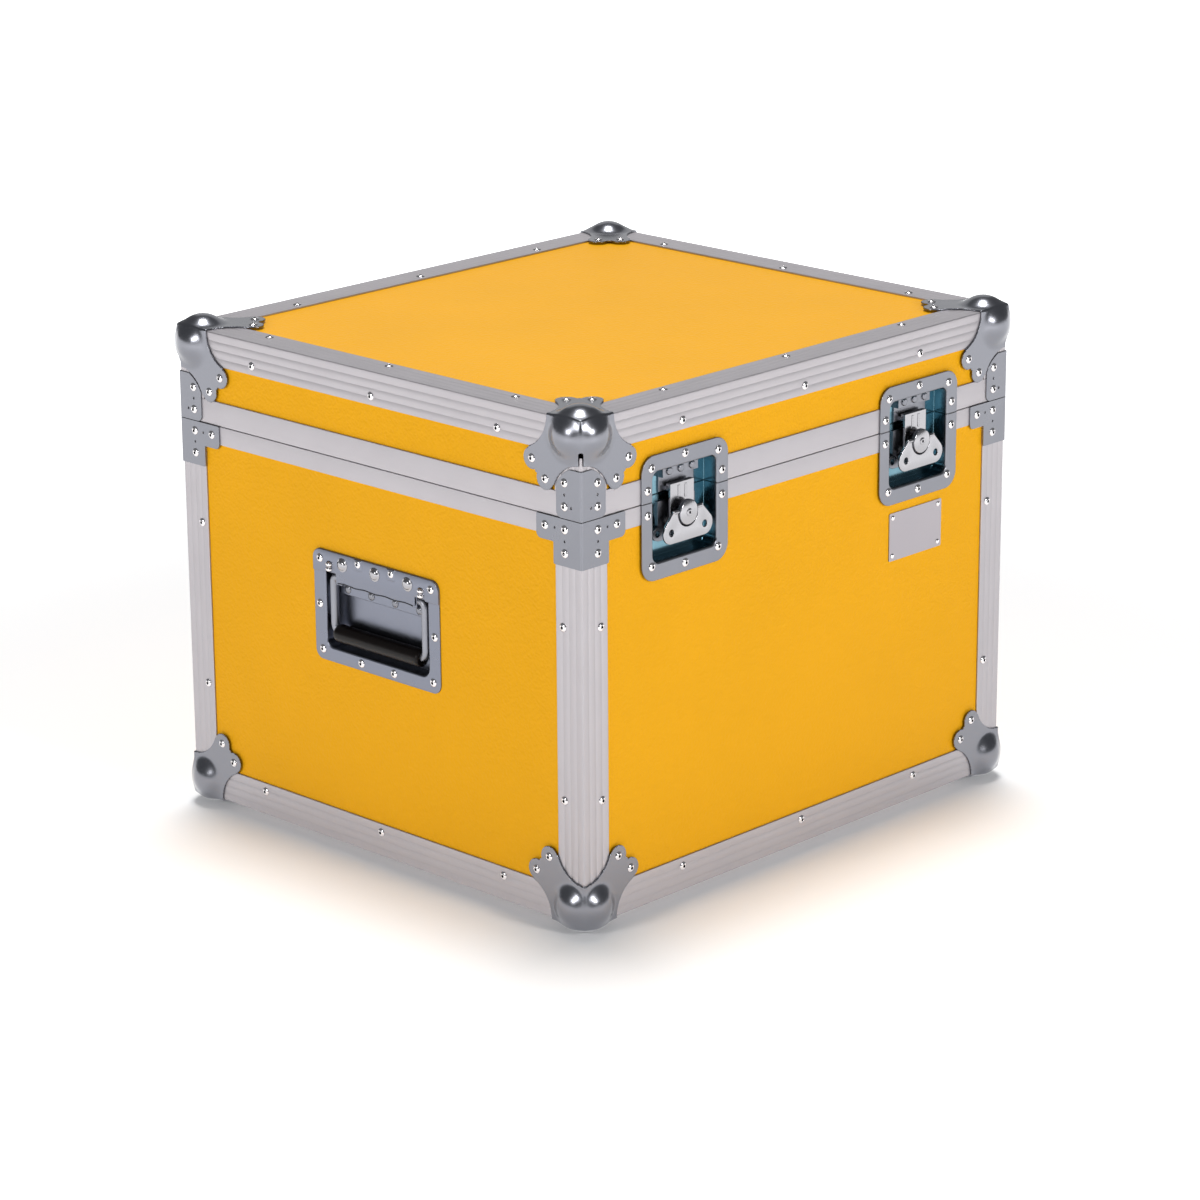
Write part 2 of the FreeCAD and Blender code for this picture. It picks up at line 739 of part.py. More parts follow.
def base_brace():
    """Angle with a short arm along the rim on each face and a leg down the upright."""
    arm_low = f"{SEAM} - dim.base_brace_arm_height"
    leg_low = f"{SEAM} - dim.base_brace_height"
    outline = [
        ("-dim.brace_sheet", BASE_TOP), ("-dim.brace_sheet", leg_low), ("dim.base_brace_leg", leg_low),
        ("dim.base_brace_leg", arm_low), ("dim.base_brace_arm", arm_low), ("dim.base_brace_arm", BASE_TOP),
    ]
    whole = fuse("base_brace", brace_legs("base_brace", outline))
    arm_end = value(f"{Y} - dim.base_brace_arm"), value(f"{X} - dim.base_brace_arm")
    low = value(arm_low)
    return rounded(
        "base_brace_round", whole, "dim.brace_round",
        lambda edge: runs_along(edge, "y", -arm_end[1], low) or runs_along(edge, "x", -arm_end[0], low))


def lid_brace():
    """Angle with an arched top that follows the ball corner's wings."""
    high = f"{SEAM} + dim.lid_brace_height"
    outline = [
        ("-dim.brace_sheet", LID_BOTTOM), ("dim.lid_brace_width", LID_BOTTOM),
        ("dim.lid_brace_width", high), ("-dim.brace_sheet", high),
    ]
    front, left = brace_legs("lid_brace", outline)
    arch = "dim.arch_radius - dim.brace_arch_gap"
    level = f"{TOP} - dim.arch_centre"
    front_y = (f"-{Y} - dim.brace_sheet - {MARGIN}", f"-{Y} + {MARGIN}")
    left_x = (f"-{X} - dim.brace_sheet - {MARGIN}", f"-{X} + {MARGIN}")
    length = f"dim.brace_sheet + 2 * {MARGIN}"
    below = (f"{LID_BOTTOM} - {MARGIN}", level)
    wide = f"dim.lid_brace_width + {MARGIN}"
    tops = {
        "front": (rod("lid_brace_arch_front", "y", arch, (f"-{X}", front_y[0], level), length),
                  box("lid_brace_foot_front", (left_x[0], f"-{X} + {wide}"), front_y, below)),
        "left": (rod("lid_brace_arch_left", "x", arch, (left_x[0], f"-{Y}", level), length),
                 box("lid_brace_foot_left", left_x, (front_y[0], f"-{Y} + {wide}"), below)),
    }
    legs = []
    for name, leg in (("front", front), ("left", left)):
        arched = doc.addObject("Part::Common", f"lid_brace_{name}_arched")
        arched.Base = leg
        arched.Tool = fuse(f"lid_brace_{name}_room", tops[name])
        legs.append(arched)
    whole = fuse("lid_brace", legs)
    low = value(LID_BOTTOM)
    side = value(f"{X} - dim.lid_brace_width"), value(f"{Y} - dim.lid_brace_width")
    return rounded(
        "lid_brace_round", whole, "dim.brace_round",
        lambda edge: runs_along(edge, "y", -side[0], low) or runs_along(edge, "x", -side[1], low))


base_braces = quartered("base_braces", base_brace())
lid_braces = quartered("lid_braces", lid_brace())

BASE_BRACE_RIVETS = (
    ("dim.brace_rivet_inset", "dim.base_brace_rivet_upper"),
    ("dim.brace_rivet_arm", "dim.base_brace_rivet_upper"),
    ("dim.brace_rivet_inset", "dim.base_brace_rivet_lower"),
)
LID_BRACE_RIVETS = (
    ("dim.brace_rivet_inset", "dim.lid_brace_rivet_lower"),
    ("dim.brace_rivet_inset", "dim.lid_brace_rivet_upper"),
)
for side, places, turn in (("base", BASE_BRACE_RIVETS, "-"), ("lid", LID_BRACE_RIVETS, "+")):
    for inset, rise in places:
        wall_rivets(side, inset, f"{SEAM} {turn} {rise}", "dim.brace_sheet", CHANNEL)


# Latches


def latch_dish(name, middle, low, high, closed):
    """Half of a latch dish between two heights; closed is the height of its end wall's inner face."""
    below = value(closed) < value(SEAM)
    outward = "-" if below else "+"
    face = f"-{Y} - dim.latch_sheet"
    floor = f"-{Y} + dim.latch_depth"
    span = spread(middle, LATCH_HALF)
    wide = spread(middle, f"({LATCH_HALF} + dim.latch_sheet)")
    end = f"{closed} {outward} dim.latch_sheet"
    tray_z = (end, high) if below else (low, end)
    hollow_z = (closed, f"{high} + {MARGIN}") if below else (f"{low} - {MARGIN}", closed)
    flange = box(f"{name}_flange", spread(middle, "dim.latch_width / 2"), (face, f"-{Y}"), (low, high))
    tray = box(f"{name}_tray", wide, (face, f"{floor} + dim.latch_sheet"), tray_z)
    hollow = box(f"{name}_hollow", span, (f"{face} - {MARGIN}", floor), hollow_z)
    sharp = cut(f"{name}_sharp", fuse(f"{name}_whole", [flange, tray]), [hollow])
    flange_end = value(low if below else high)
    outer_x = [value(place_x) for place_x in spread(middle, "dim.latch_width / 2")]
    outer = rounded(
        f"{name}_outer", sharp, "dim.latch_round",
        lambda edge: any(runs_along(edge, "y", x, flange_end) for x in outer_x))
    wall_end = value(closed)
    inner_x = value(span[0]), value(span[1])
    inner = rounded(
        f"{name}_inner", outer, "dim.latch_inner_round",
        lambda edge: any(runs_along(edge, "y", x, wall_end) for x in inner_x))
    tray_end = value(end)
    tray_x = value(wide[0]), value(wide[1])
    back = rounded(
        f"{name}_tray_round", inner, "dim.latch_inner_round + dim.latch_sheet",
        lambda edge: any(runs_along(edge, "y", x, tray_end) for x in tray_x))
    front = value(face)

    def is_lip(edge):
        box_of = edge.BoundBox
        flat = abs(box_of.YMin - front) < 1e-4 and abs(box_of.YMax - front) < 1e-4
        across = inner_x[0] - 1e-3 < box_of.XMin and box_of.XMax < inner_x[1] + 1e-3
        if below:
            return flat and across and box_of.ZMin > wall_end - 1e-3 and box_of.ZMin < value(high) - 1e-3
        return flat and across and box_of.ZMax < wall_end + 1e-3 and box_of.ZMax > value(low) + 1e-3

    return rounded(f"{name}_lip", back, "dim.latch_bend", is_lip)


def latch_rotor(name, across, level):
    """Boss, eccentric cam and shaft that turn together, with a trunnion on each side for the wing."""
    boss = rod(f"{name}_boss", "y", "dim.rotor_radius", (across, f"-{Y} + dim.rotor_front", level),
               "dim.rotor_back - dim.rotor_front")
    boss = rounded(f"{name}_bevel", boss, "dim.rotor_bevel",
                   lambda edge: is_ring_at(edge, value(f"-{Y} + dim.rotor_front")))
    cam = rod(f"{name}_cam", "y", "dim.cam_radius",
              (across, f"-{Y} + dim.rotor_back", f"{level} - dim.cam_throw"),
              "dim.cam_back - dim.rotor_back")
    shaft = rod(f"{name}_shaft", "y", "dim.shaft_radius", (across, f"-{Y} + dim.cam_back", level),
                "dim.shaft_back - dim.cam_back")
    stud = rod(f"{name}_stud", "y", "dim.rotor_rivet_radius",
               (across, f"-{Y} + dim.rotor_front - dim.rotor_rivet_height", level), "dim.rotor_rivet_height")
    pivot_y = f"-{Y} + dim.wing_axis_depth"
    pivot_z = f"{level} + dim.wing_axis_rise"
    trunnions = rod(f"{name}_trunnions", "x", "dim.trunnion_radius",
                    (f"{across} - dim.trunnion_end", pivot_y, pivot_z), "2 * dim.trunnion_end")
    return fuse(name, [boss, cam, shaft, stud, trunnions])


def latch_wing(name, across, level):
    """Folding key plate with two holes, notched round the boss and hung on ears at the boss's sides."""
    axis = f"({level} + dim.wing_axis_rise)"
    front = f"-{Y} + dim.wing_axis_depth - dim.wing_sheet / 2"
    low = f"{level} - dim.wing_hole_drop - dim.wing_tip_radius"
    high = f"{axis} + dim.wing_ear_radius"
    holes = f"{level} - dim.wing_hole_drop"
    # The slanting side runs from the shoulder to where it touches the round tip
    run = "(dim.wing_hole_across - dim.wing_shoulder)"
    fall = "(dim.wing_hole_drop + dim.wing_axis_rise)"
    square = f"({run} * {run} + {fall} * {fall})"
    side = f"sqrt({square} - dim.wing_tip_radius * dim.wing_tip_radius)"
    touch_x = f"dim.wing_shoulder + {side} * ({side} * {run} + dim.wing_tip_radius * {fall}) / {square}"
    touch_z = f"{axis} + {side} * (dim.wing_tip_radius * {run} - {side} * {fall}) / {square}"
    half = [
        ("dim.wing_hole_across", low), (touch_x, touch_z),
        ("dim.wing_shoulder", axis), ("dim.wing_shoulder", high),
    ]
    outline = [(f"{across} + {u}", z) for u, z in half]
    outline += [(f"{across} - ({u})", z) for u, z in reversed(half)]
    plate = profile_body(f"{name}_plate", "XZ_Plane", f"-({front} + dim.wing_sheet)", "dim.wing_sheet",
                         [outline])
    pieces = [plate]
    tools = [rod(f"{name}_notch", "y", "dim.wing_notch_radius", (across, f"{front} - {MARGIN}", level),
                 f"dim.wing_sheet + 2 * {MARGIN}"),
             box(f"{name}_gap", spread(across, "dim.wing_notch_radius"),
                 (f"{front} - {MARGIN}", f"{front} + dim.wing_sheet + {MARGIN}"),
                 (level, f"{high} + {MARGIN}"))]
    ears = []
    bores = []
    for label, sign in (("a", "-"), ("b", "+")):
        pieces.append(rod(f"{name}_tip_{label}", "y", "dim.wing_tip_radius",
                          (f"{across} {sign} dim.wing_hole_across", front, holes), "dim.wing_sheet"))
        tools.append(rod(f"{name}_hole_{label}", "y", "dim.wing_hole_radius",
                         (f"{across} {sign} dim.wing_hole_across", f"{front} - {MARGIN}", holes),
                         f"dim.wing_sheet + 2 * {MARGIN}"))
        start = "- dim.wing_ear_end" if sign == "-" else "+ dim.wing_ear_start"
        spot = (f"{across} {start}", f"-{Y} + dim.wing_axis_depth", axis)
        ears.append(rod(f"{name}_ear_{label}", "x", "dim.wing_ear_radius", spot,
                        "dim.wing_ear_end - dim.wing_ear_start"))
        bore_start = "- dim.trunnion_end - dim.running_clearance" if sign == "-" else "+ dim.wing_ear_start"
        spot = (f"{across} {bore_start}", f"-{Y} + dim.wing_axis_depth", axis)
        bores.append(rod(f"{name}_bore_{label}", "x", "dim.trunnion_radius + dim.running_clearance", spot,
                         "dim.trunnion_end + dim.running_clearance - dim.wing_ear_start"))
    notched = cut(f"{name}_notched", fuse(f"{name}_outline", pieces), tools)
    return cut(name, fuse(f"{name}_eared", [notched, *ears]), bores)


def latch_hook(name, across, level):
    """Sliding hook: a plate with a window for the cam, and a top bent over the strike's bar."""
    half = "dim.hook_width / 2"
    front = f"-{Y} + dim.hook_front"
    back = f"{front} + dim.hook_sheet"
    top = f"{SEAM} + dim.hook_top"
    bend_low = f"{top} - dim.hook_bend_height"
    plate = box(f"{name}_plate", spread(across, half), (front, back), (f"{SEAM} - dim.hook_bottom", top))
    turned = box(f"{name}_bend", spread(across, half), (front, f"{front} + dim.hook_bend_reach"),
                 (bend_low, top))
    ribs = [
        box(f"{name}_rib_{label}", spread(f"{across} {sign} dim.hook_rib_across", "dim.hook_rib_width / 2"),
            (f"{front} - dim.hook_rib_height", front), (f"{SEAM} - dim.hook_rib_bottom", bend_low))
        for label, sign in (("a", "-"), ("b", "+"))
    ]
    tall = "(dim.cam_radius + dim.cam_lag + dim.cam_clearance)"
    wide = "(dim.cam_radius + dim.cam_throw + dim.cam_clearance)"
    middle = f"{level} - dim.cam_throw"
    window = box(f"{name}_window", spread(across, wide), (f"{front} - {MARGIN}", f"{back} + {MARGIN}"),
                 spread(middle, tall))
    return cut(name, fuse(f"{name}_whole", [plate, turned, *ribs]), [window])


def latch_bed(name, across, level):
    """Plate on the lower dish's floor with the rotor's bearing boss and two ringed lobes."""
    floor = f"-{Y} + dim.latch_depth"
    front = f"-{Y} + dim.bed_front"
    plate = box(f"{name}_plate", spread(across, "dim.bed_width / 2"), (front, floor),
                (f"{level} - dim.bed_below", f"{level} + dim.bed_above"))
    boss = rod(f"{name}_boss", "y", "dim.bed_boss_radius", (across, f"-{Y} + dim.bed_boss_front", level),
               "dim.latch_depth - dim.bed_boss_front")
    bore = rod(f"{name}_bore", "y", "dim.shaft_radius + dim.running_clearance",
               (across, f"-{Y} + dim.bed_boss_front - {MARGIN}", level),
               f"dim.latch_depth - dim.bed_boss_front + 2 * {MARGIN}")
    pieces = [plate, boss]
    tools = [bore]
    for label, sign in (("a", "-"), ("b", "+")):
        spot = f"{across} {sign} dim.bed_lobe_across"
        drop = f"{level} - dim.bed_lobe_drop"
        pieces.append(rod(f"{name}_lobe_{label}", "y", "dim.bed_lobe_radius",
                          (spot, f"-{Y} + dim.bed_lobe_front", drop), "dim.latch_depth - dim.bed_lobe_front"))
        tools.append(rod(f"{name}_eye_{label}", "y", "dim.bed_lobe_hole",
                         (spot, f"-{Y} + dim.bed_lobe_front - {MARGIN}", drop),
                         f"dim.latch_depth - dim.bed_lobe_front + 2 * {MARGIN}"))
    return cut(name, fuse(f"{name}_whole", pieces), tools)


def latch_strike(name, across):
    """Plate on the upper dish's floor with the bar that the hook catches and a pad with three bumps."""
    floor = f"-{Y} + dim.latch_depth"
    half = "dim.strike_width / 2"
    bar_half = "dim.strike_bar_width / 2"
    span = spread(across, half)
    plate = box(f"{name}_plate", span, (f"{floor} - dim.strike_plate", floor),
                (f"{SEAM} + dim.strike_bar_bottom", f"{SEAM} + dim.strike_pad_top"))
    bar = box(f"{name}_bar", spread(across, bar_half), (f"-{Y} + dim.strike_bar_front", floor),
              (f"{SEAM} + dim.strike_bar_bottom", f"{SEAM} + dim.strike_bar_top"))
    pad = box(f"{name}_pad", span, (f"-{Y} + dim.strike_pad_front", floor),
              (f"{SEAM} + dim.strike_pad_bottom", f"{SEAM} + dim.strike_pad_top"))
    middle = f"{SEAM} + (dim.strike_pad_bottom + dim.strike_pad_top) / 2"
    bump_front = f"-{Y} + dim.strike_pad_front - dim.strike_bump_height"
    bumps = []
    for label, step in (("a", -1), ("b", 0), ("c", 1)):
        spot = (f"{across} + {step} * dim.strike_bump_pitch", bump_front, middle)
        stud = rod(f"{name}_bump_{label}", "y", "dim.strike_bump_radius", spot, "dim.strike_bump_height")
        bumps.append(rounded(f"{name}_bump_{label}_round", stud, "dim.strike_bump_height * 0.9",
                             lambda edge: is_ring_at(edge, value(bump_front))))
    return fuse(name, [plate, bar, pad, *bumps])


LATCH_RIVETS_UP = (("dim.latch_rivet_corner", "dim.latch_rivet_top_corner"),
                   ("dim.latch_rivet_side", "dim.latch_rivet_side_rise"))
LATCH_RIVETS_DOWN = (("dim.latch_rivet_corner", "dim.latch_rivet_bottom_corner"),
                     ("dim.latch_rivet_side", "dim.latch_rivet_side_rise"))
lower_dishes = {}
upper_dishes = {}
for side, middle in LATCHES.items():
    name = f"latch_{side}"
    across = f"({middle} + dim.rotor_offset)"
    level = f"({SEAM} - dim.rotor_drop)"
    lower_dishes[side] = latch_dish(f"{name}_lower", middle, f"{SEAM} - dim.latch_below", BASE_TOP,
                                    f"({SEAM} - dim.latch_below + dim.latch_flange_end)")
    upper_dishes[side] = latch_dish(f"{name}_upper", middle, LID_BOTTOM, f"{SEAM} + dim.latch_above",
                                    f"({SEAM} + dim.latch_above - dim.latch_flange_end)")
    node(f"{name}_rotor", latch_rotor(f"{name}_rotor", across, level))
    node(f"{name}_wing", latch_wing(f"{name}_wing", across, level))
    node(f"{name}_hook", latch_hook(f"{name}_hook", across, level))
    node(f"{name}_bed", latch_bed(f"{name}_bed", across, level))
    node(f"{name}_strike", latch_strike(f"{name}_strike", across))
    for sign in ("-", "+"):
        for inset, rise in LATCH_RIVETS_UP:
            rivet("lid", "front", f"{middle} {sign} {inset}", f"{SEAM} + {rise}", "dim.latch_sheet", INNER)
        for inset, drop in LATCH_RIVETS_DOWN:
            rivet("base", "front", f"{middle} {sign} {inset}", f"{SEAM} - {drop}", "dim.latch_sheet", INNER)
    rivet("lid", "front", middle, f"{SEAM} + dim.latch_rivet_top", "dim.latch_sheet", INNER)
    rivet("base", "front", middle, f"{SEAM} - dim.latch_rivet_bottom", "dim.latch_sheet", INNER)

# Bare plate under the right latch
badge_z = f"({SEAM} - dim.badge_drop)"
badge_half = ("dim.badge_width / 2", "dim.badge_height / 2")
badge_block = box(
    "badge_block",
    spread(LATCHES["right"], badge_half[0]),
    (f"-{Y} + {WALL} - dim.badge_sheet", f"-{Y} + {WALL}"),
    spread(badge_z, badge_half[1]))
badge = rounded("badge", badge_block, "dim.badge_round", lambda edge: (
    edge.BoundBox.XLength < 1e-4 and edge.BoundBox.ZLength < 1e-4))
for across in spread(LATCHES["right"], f"({badge_half[0]} - dim.badge_rivet_inset)"):
    for up in spread(badge_z, f"({badge_half[1]} - dim.badge_rivet_inset)"):
        rivet("base", "front", across, up, f"dim.badge_sheet - {WALL}", INNER, "small")


# Sprung handles, made on the left side and mirrored to the right

HANDLE_Z = f"({SEAM} - dim.handle_drop)"
HANDLE_FRONT = f"(-{X} + {WALL} - dim.handle_sheet)"
BAIL_X = f"({HANDLE_FRONT} + dim.bail_axis_depth)"
BAIL_Z = f"({HANDLE_Z} + dim.bail_axis_rise)"
GRIP_Z = f"({HANDLE_Z} - dim.grip_drop)"


def handle_dish():
    """Tray with a flange that lies on the board."""
    half = "dim.handle_cavity_half"
    low = f"{HANDLE_Z} - dim.handle_cavity_bottom"
    high = f"{HANDLE_Z} + dim.handle_cavity_top"
    floor = f"{HANDLE_FRONT} + dim.handle_depth"
    flange = box("handle_flange", (HANDLE_FRONT, f"-{X} + {WALL}"), spread("0", "dim.handle_width / 2"),
                 spread(HANDLE_Z, "dim.handle_height / 2"))
    tray = box("handle_tray", (HANDLE_FRONT, f"{floor} + dim.handle_sheet"),
               (f"-{half} - dim.handle_sheet", f"{half} + dim.handle_sheet"),
               (f"{low} - dim.handle_sheet", f"{high} + dim.handle_sheet"))
    hollow = box("handle_hollow", (f"{HANDLE_FRONT} - {MARGIN}", floor), (f"-{half}", half), (low, high))
    sharp = cut("handle_sharp", fuse("handle_whole", [flange, tray]), [hollow])
    outer_y = value("dim.handle_width / 2")
    outer_z = [value(place_z) for place_z in spread(HANDLE_Z, "dim.handle_height / 2")]
    outer = rounded("handle_outer", sharp, "dim.handle_round", lambda edge: any(
        runs_along(edge, "x", y, z) for y in (-outer_y, outer_y) for z in outer_z))
    inner_y = value(half)
    inner_z = value(low), value(high)
    inner = rounded("handle_inner", outer, "dim.handle_inner_round", lambda edge: any(
        runs_along(edge, "x", y, z) for y in (-inner_y, inner_y) for z in inner_z))
    tray_y = value(f"{half} + dim.handle_sheet")
    tray_z = value(f"{low} - dim.handle_sheet"), value(f"{high} + dim.handle_sheet")
    back = rounded("handle_back", inner, "dim.handle_inner_round + dim.handle_sheet", lambda edge: any(
        runs_along(edge, "x", y, z) for y in (-tray_y, tray_y) for z in tray_z))
    front = value(HANDLE_FRONT)
    return rounded("handle_dish", back, "dim.handle_bend", lambda edge: (
        abs(edge.BoundBox.XMin - front) < 1e-4 and abs(edge.BoundBox.XMax - front) < 1e-4
        and edge.BoundBox.YMax < inner_y + 1e-3 and edge.BoundBox.YMin > -inner_y - 1e-3
        and edge.BoundBox.ZMin > inner_z[0] - 1e-3 and edge.BoundBox.ZMax < inner_z[1] + 1e-3))


def handle_cover():
    """Strip over the axle, notched where the bail's legs come out, with a bump above each leg."""
    half = "dim.handle_width / 2"
    side_low = f"{HANDLE_Z} + dim.cover_side_lower"
    notch_top = f"{HANDLE_Z} + dim.cover_notch_top"
    low = f"{HANDLE_Z} + dim.cover_lower"
    high = f"{HANDLE_Z} + dim.handle_height / 2"
    right_half = [
        ("dim.cover_notch_start", low), ("dim.cover_notch_start", notch_top),
        ("dim.cover_notch_end", notch_top), ("dim.cover_notch_end", side_low),
        (half, side_low), (half, high),
    ]
    outline = right_half + [(f"-({y})", z) for y, z in reversed(right_half)]
    face = f"{HANDLE_FRONT} - dim.cover_sheet"
    strip = profile_body("cover_strip", "YZ_Plane", face, "dim.cover_sheet", [outline])
    edge_y = value(half)
    edge_z = value(high)
    strip = rounded("cover_round", strip, "dim.handle_round", lambda edge: any(
        runs_along(edge, "x", y, edge_z) for y in (-edge_y, edge_y)))
    pieces = [strip]
    for label, sign in (("a", "-"), ("b", "")):
        block = box(f"cover_bump_{label}", (f"{face} - dim.cover_bump_proud", face),
                    spread(f"{sign}dim.bail_half", "dim.cover_bump_width / 2"),
                    spread(f"{HANDLE_Z} + dim.cover_bump_rise", "dim.cover_bump_height / 2"))
        pieces.append(rounded(f"cover_bump_{label}_round", block, "dim.cover_bump_round",
                              lambda edge: edge.BoundBox.XMin < value(face) - 1e-3))
    return fuse("handle_cover", pieces)


def bend(name, centre_y, centre_z, radius, start):
    """Quarter bend of the bail's rod in the plane of the handle, from a start angle."""
    quarter = doc.addObject("Part::Torus", name)
    quarter.Angle3 = 90
    quarter.setExpression("Radius1", radius)
    quarter.setExpression("Radius2", "dim.bail_rod_radius")
    quarter.Placement.Rotation = Rotation(Vector(1, 0, 0), start) * Rotation(Vector(1, 1, 1), 120)
    place(quarter, BAIL_X, centre_y, centre_z)
    return quarter


def handle_bail():
    """Rod bent to a stirrup, with stub axles turned inwards and reduced to pivots at their ends."""
    stub = "(dim.bail_half - dim.bail_top_bend)"
    run = "(dim.bail_half - dim.bail_low_bend)"
    leg_low = f"{GRIP_Z} + dim.bail_low_bend"
    leg_high = f"{BAIL_Z} - dim.bail_top_bend"
    pieces = [rod("bail_run", "y", "dim.bail_rod_radius", (BAIL_X, f"-{run}", GRIP_Z), f"2 * {run}")]
    for label, sign, top_turn, low_turn in (("a", "-", 90, 180), ("b", "", 0, 270)):
        pieces.append(rod(f"bail_leg_{label}", "z", "dim.bail_rod_radius",
                          (BAIL_X, f"{sign}dim.bail_half", leg_low), f"({leg_high}) - ({leg_low})"))
        stub_start = "dim.stub_end" if sign == "" else f"-{stub}"
        pieces.append(rod(f"bail_stub_{label}", "y", "dim.bail_rod_radius", (BAIL_X, stub_start, BAIL_Z),
                          f"{stub} - dim.stub_end"))
        pivot_start = "dim.pivot_end" if sign == "" else "-dim.stub_end"
        pieces.append(rod(f"bail_pivot_{label}", "y", "dim.pivot_radius", (BAIL_X, pivot_start, BAIL_Z),
                          "dim.stub_end - dim.pivot_end"))
        pieces.append(bend(f"bail_top_{label}", f"{sign}{stub}", leg_high, "dim.bail_top_bend", top_turn))
        pieces.append(bend(f"bail_low_{label}", f"{sign}{run}", leg_low, "dim.bail_low_bend", low_turn))
    return fuse("handle_bail", pieces)


def handle_grip():
    """Sleeve on the straight run of the bail."""
    run = "(dim.bail_half - dim.bail_low_bend)"
    sleeve = rod("grip_sleeve", "y", "dim.grip_radius", (BAIL_X, f"-{run}", GRIP_Z), f"2 * {run}")
    soft = rounded("grip_soft", sleeve, "dim.grip_round", lambda edge: len(edge.Vertexes) == 1)
    bore = rod("grip_bore", "y", "dim.bail_rod_radius + dim.running_clearance",
               (BAIL_X, f"-{run} - {MARGIN}", GRIP_Z), f"2 * {run} + 2 * {MARGIN}")
    return cut("handle_grip", soft, [bore])


def handle_clamp():
    """Plate behind the axle with two bearing blocks, standing on four studs on the dish floor."""
    front = f"{HANDLE_FRONT} + dim.clamp_front"
    back = f"{front} + dim.clamp_sheet"
    plate = box("clamp_plate", (front, back), ("-dim.clamp_half", "dim.clamp_half"),
                (f"{HANDLE_Z} + dim.clamp_bottom", f"{HANDLE_Z} + dim.clamp_top"))
    pieces = [plate]
    tools = []
    for label, low, high in (("a", "-dim.clamp_block_end", "-dim.clamp_block_start"),
                             ("b", "dim.clamp_block_start", "dim.clamp_block_end")):
        pieces.append(box(f"clamp_block_{label}", (f"{HANDLE_FRONT} + dim.clamp_block_front", back),
                          (low, high), spread(BAIL_Z, "dim.clamp_block_half")))
        tools.append(rod(f"clamp_bore_{label}", "y", "dim.bail_rod_radius + dim.running_clearance",
                         (BAIL_X, f"{low} - {MARGIN}", BAIL_Z), f"{high} - ({low}) + 2 * {MARGIN}"))
    for step in (-3, -1, 1, 3):
        along = f"{step} * dim.clamp_stud_pitch / 2"
        pieces.append(rod(f"clamp_stud_{step}", "x", "dim.clamp_stud_radius",
                          (back, along, f"{HANDLE_Z} + dim.clamp_stud_rise"),
                          "dim.handle_depth - dim.clamp_front - dim.clamp_sheet"))
    return cut("handle_clamp", fuse("clamp_whole", pieces), tools)


def handle_springs():
    """Return springs round the two pivots, as sleeves of the coils' outer and inner size."""
    coils = []
    inner = "(dim.pivot_radius + dim.spring_clearance)"
    for label, start in (("a", "-dim.spring_end"), ("b", "dim.spring_start")):
        outer_rod = rod(f"spring_outer_{label}", "y", f"{inner} + dim.spring_wire", (BAIL_X, start, BAIL_Z),
                        "dim.spring_end - dim.spring_start")
        inner_rod = rod(f"spring_inner_{label}", "y", inner, (BAIL_X, f"{start} - {MARGIN}", BAIL_Z),
                        f"dim.spring_end - dim.spring_start + 2 * {MARGIN}")
        coils.append(cut(f"spring_{label}", outer_rod, [inner_rod]))
    return group("handle_springs", coils)


handle_parts = {
    "dish": handle_dish(),
    "cover": handle_cover(),
    "axle_clamp": handle_clamp(),
}
for label, piece in (("bail", handle_bail()), ("grip", handle_grip()), ("springs", handle_springs())):
    node(f"handle_left_{label}", piece)
    node(f"handle_right_{label}", mirror(f"right_{label}", piece, (1, 0, 0)))

FLANGE_SEAT = f"(dim.handle_sheet - {WALL})"
COVER_SEAT = f"({FLANGE_SEAT} + dim.cover_sheet)"
CLAMP_SEAT = f"({FLANGE_SEAT} - dim.clamp_front)"
HANDLE_FLOOR = f"({WALL} - dim.handle_sheet + dim.handle_depth + dim.handle_sheet)"
HANDLE_RIVETS = (
    ("dim.handle_rivet_corner", "+ dim.handle_rivet_top", COVER_SEAT),
    ("dim.cover_tab_pitch", "+ dim.cover_tab_rise", COVER_SEAT),
    ("dim.handle_rivet_corner", "- dim.handle_rivet_low", FLANGE_SEAT),
    ("dim.handle_rivet_side", "", FLANGE_SEAT),
    ("dim.handle_rivet_base", "- dim.handle_rivet_base_drop", FLANGE_SEAT),
)
for wall in ("left", "right"):
    for across, rise, seat in HANDLE_RIVETS:
        for sign in ("-", ""):
            rivet("base", wall, f"{sign}{across}", f"{HANDLE_Z} {rise}", seat, INNER)
    for step in (-1, 0, 1):
        rivet("base", wall, f"{step} * dim.cover_dome_pitch", f"{HANDLE_Z} + dim.cover_dome_rise",
              COVER_SEAT, f"{WALL} + dim.cover_sheet", "dome")
    for step in (-3, -1, 1, 3):
        rivet("base", wall, f"{step} * dim.clamp_stud_pitch / 2", f"{HANDLE_Z} + dim.clamp_stud_rise",
              CLAMP_SEAT, HANDLE_FLOOR)


# Stop hinges on the back

HINGES = {"left": f"(-{X} + dim.hinge_inset)", "right": f"({X} - dim.hinge_inset)"}
HINGE_Y = f"({Y} + dim.knuckle_radius + dim.hinge_gap)"
PITCH = f"(dim.hinge_width / {KNUCKLES})"


def knuckle_span(middle, index):
    """Start and end of one knuckle along the pin."""
    start = f"{middle} - dim.hinge_width / 2 + {index} * {PITCH} + dim.knuckle_gap / 2"
    return start, f"{start} + {PITCH} - dim.knuckle_gap"


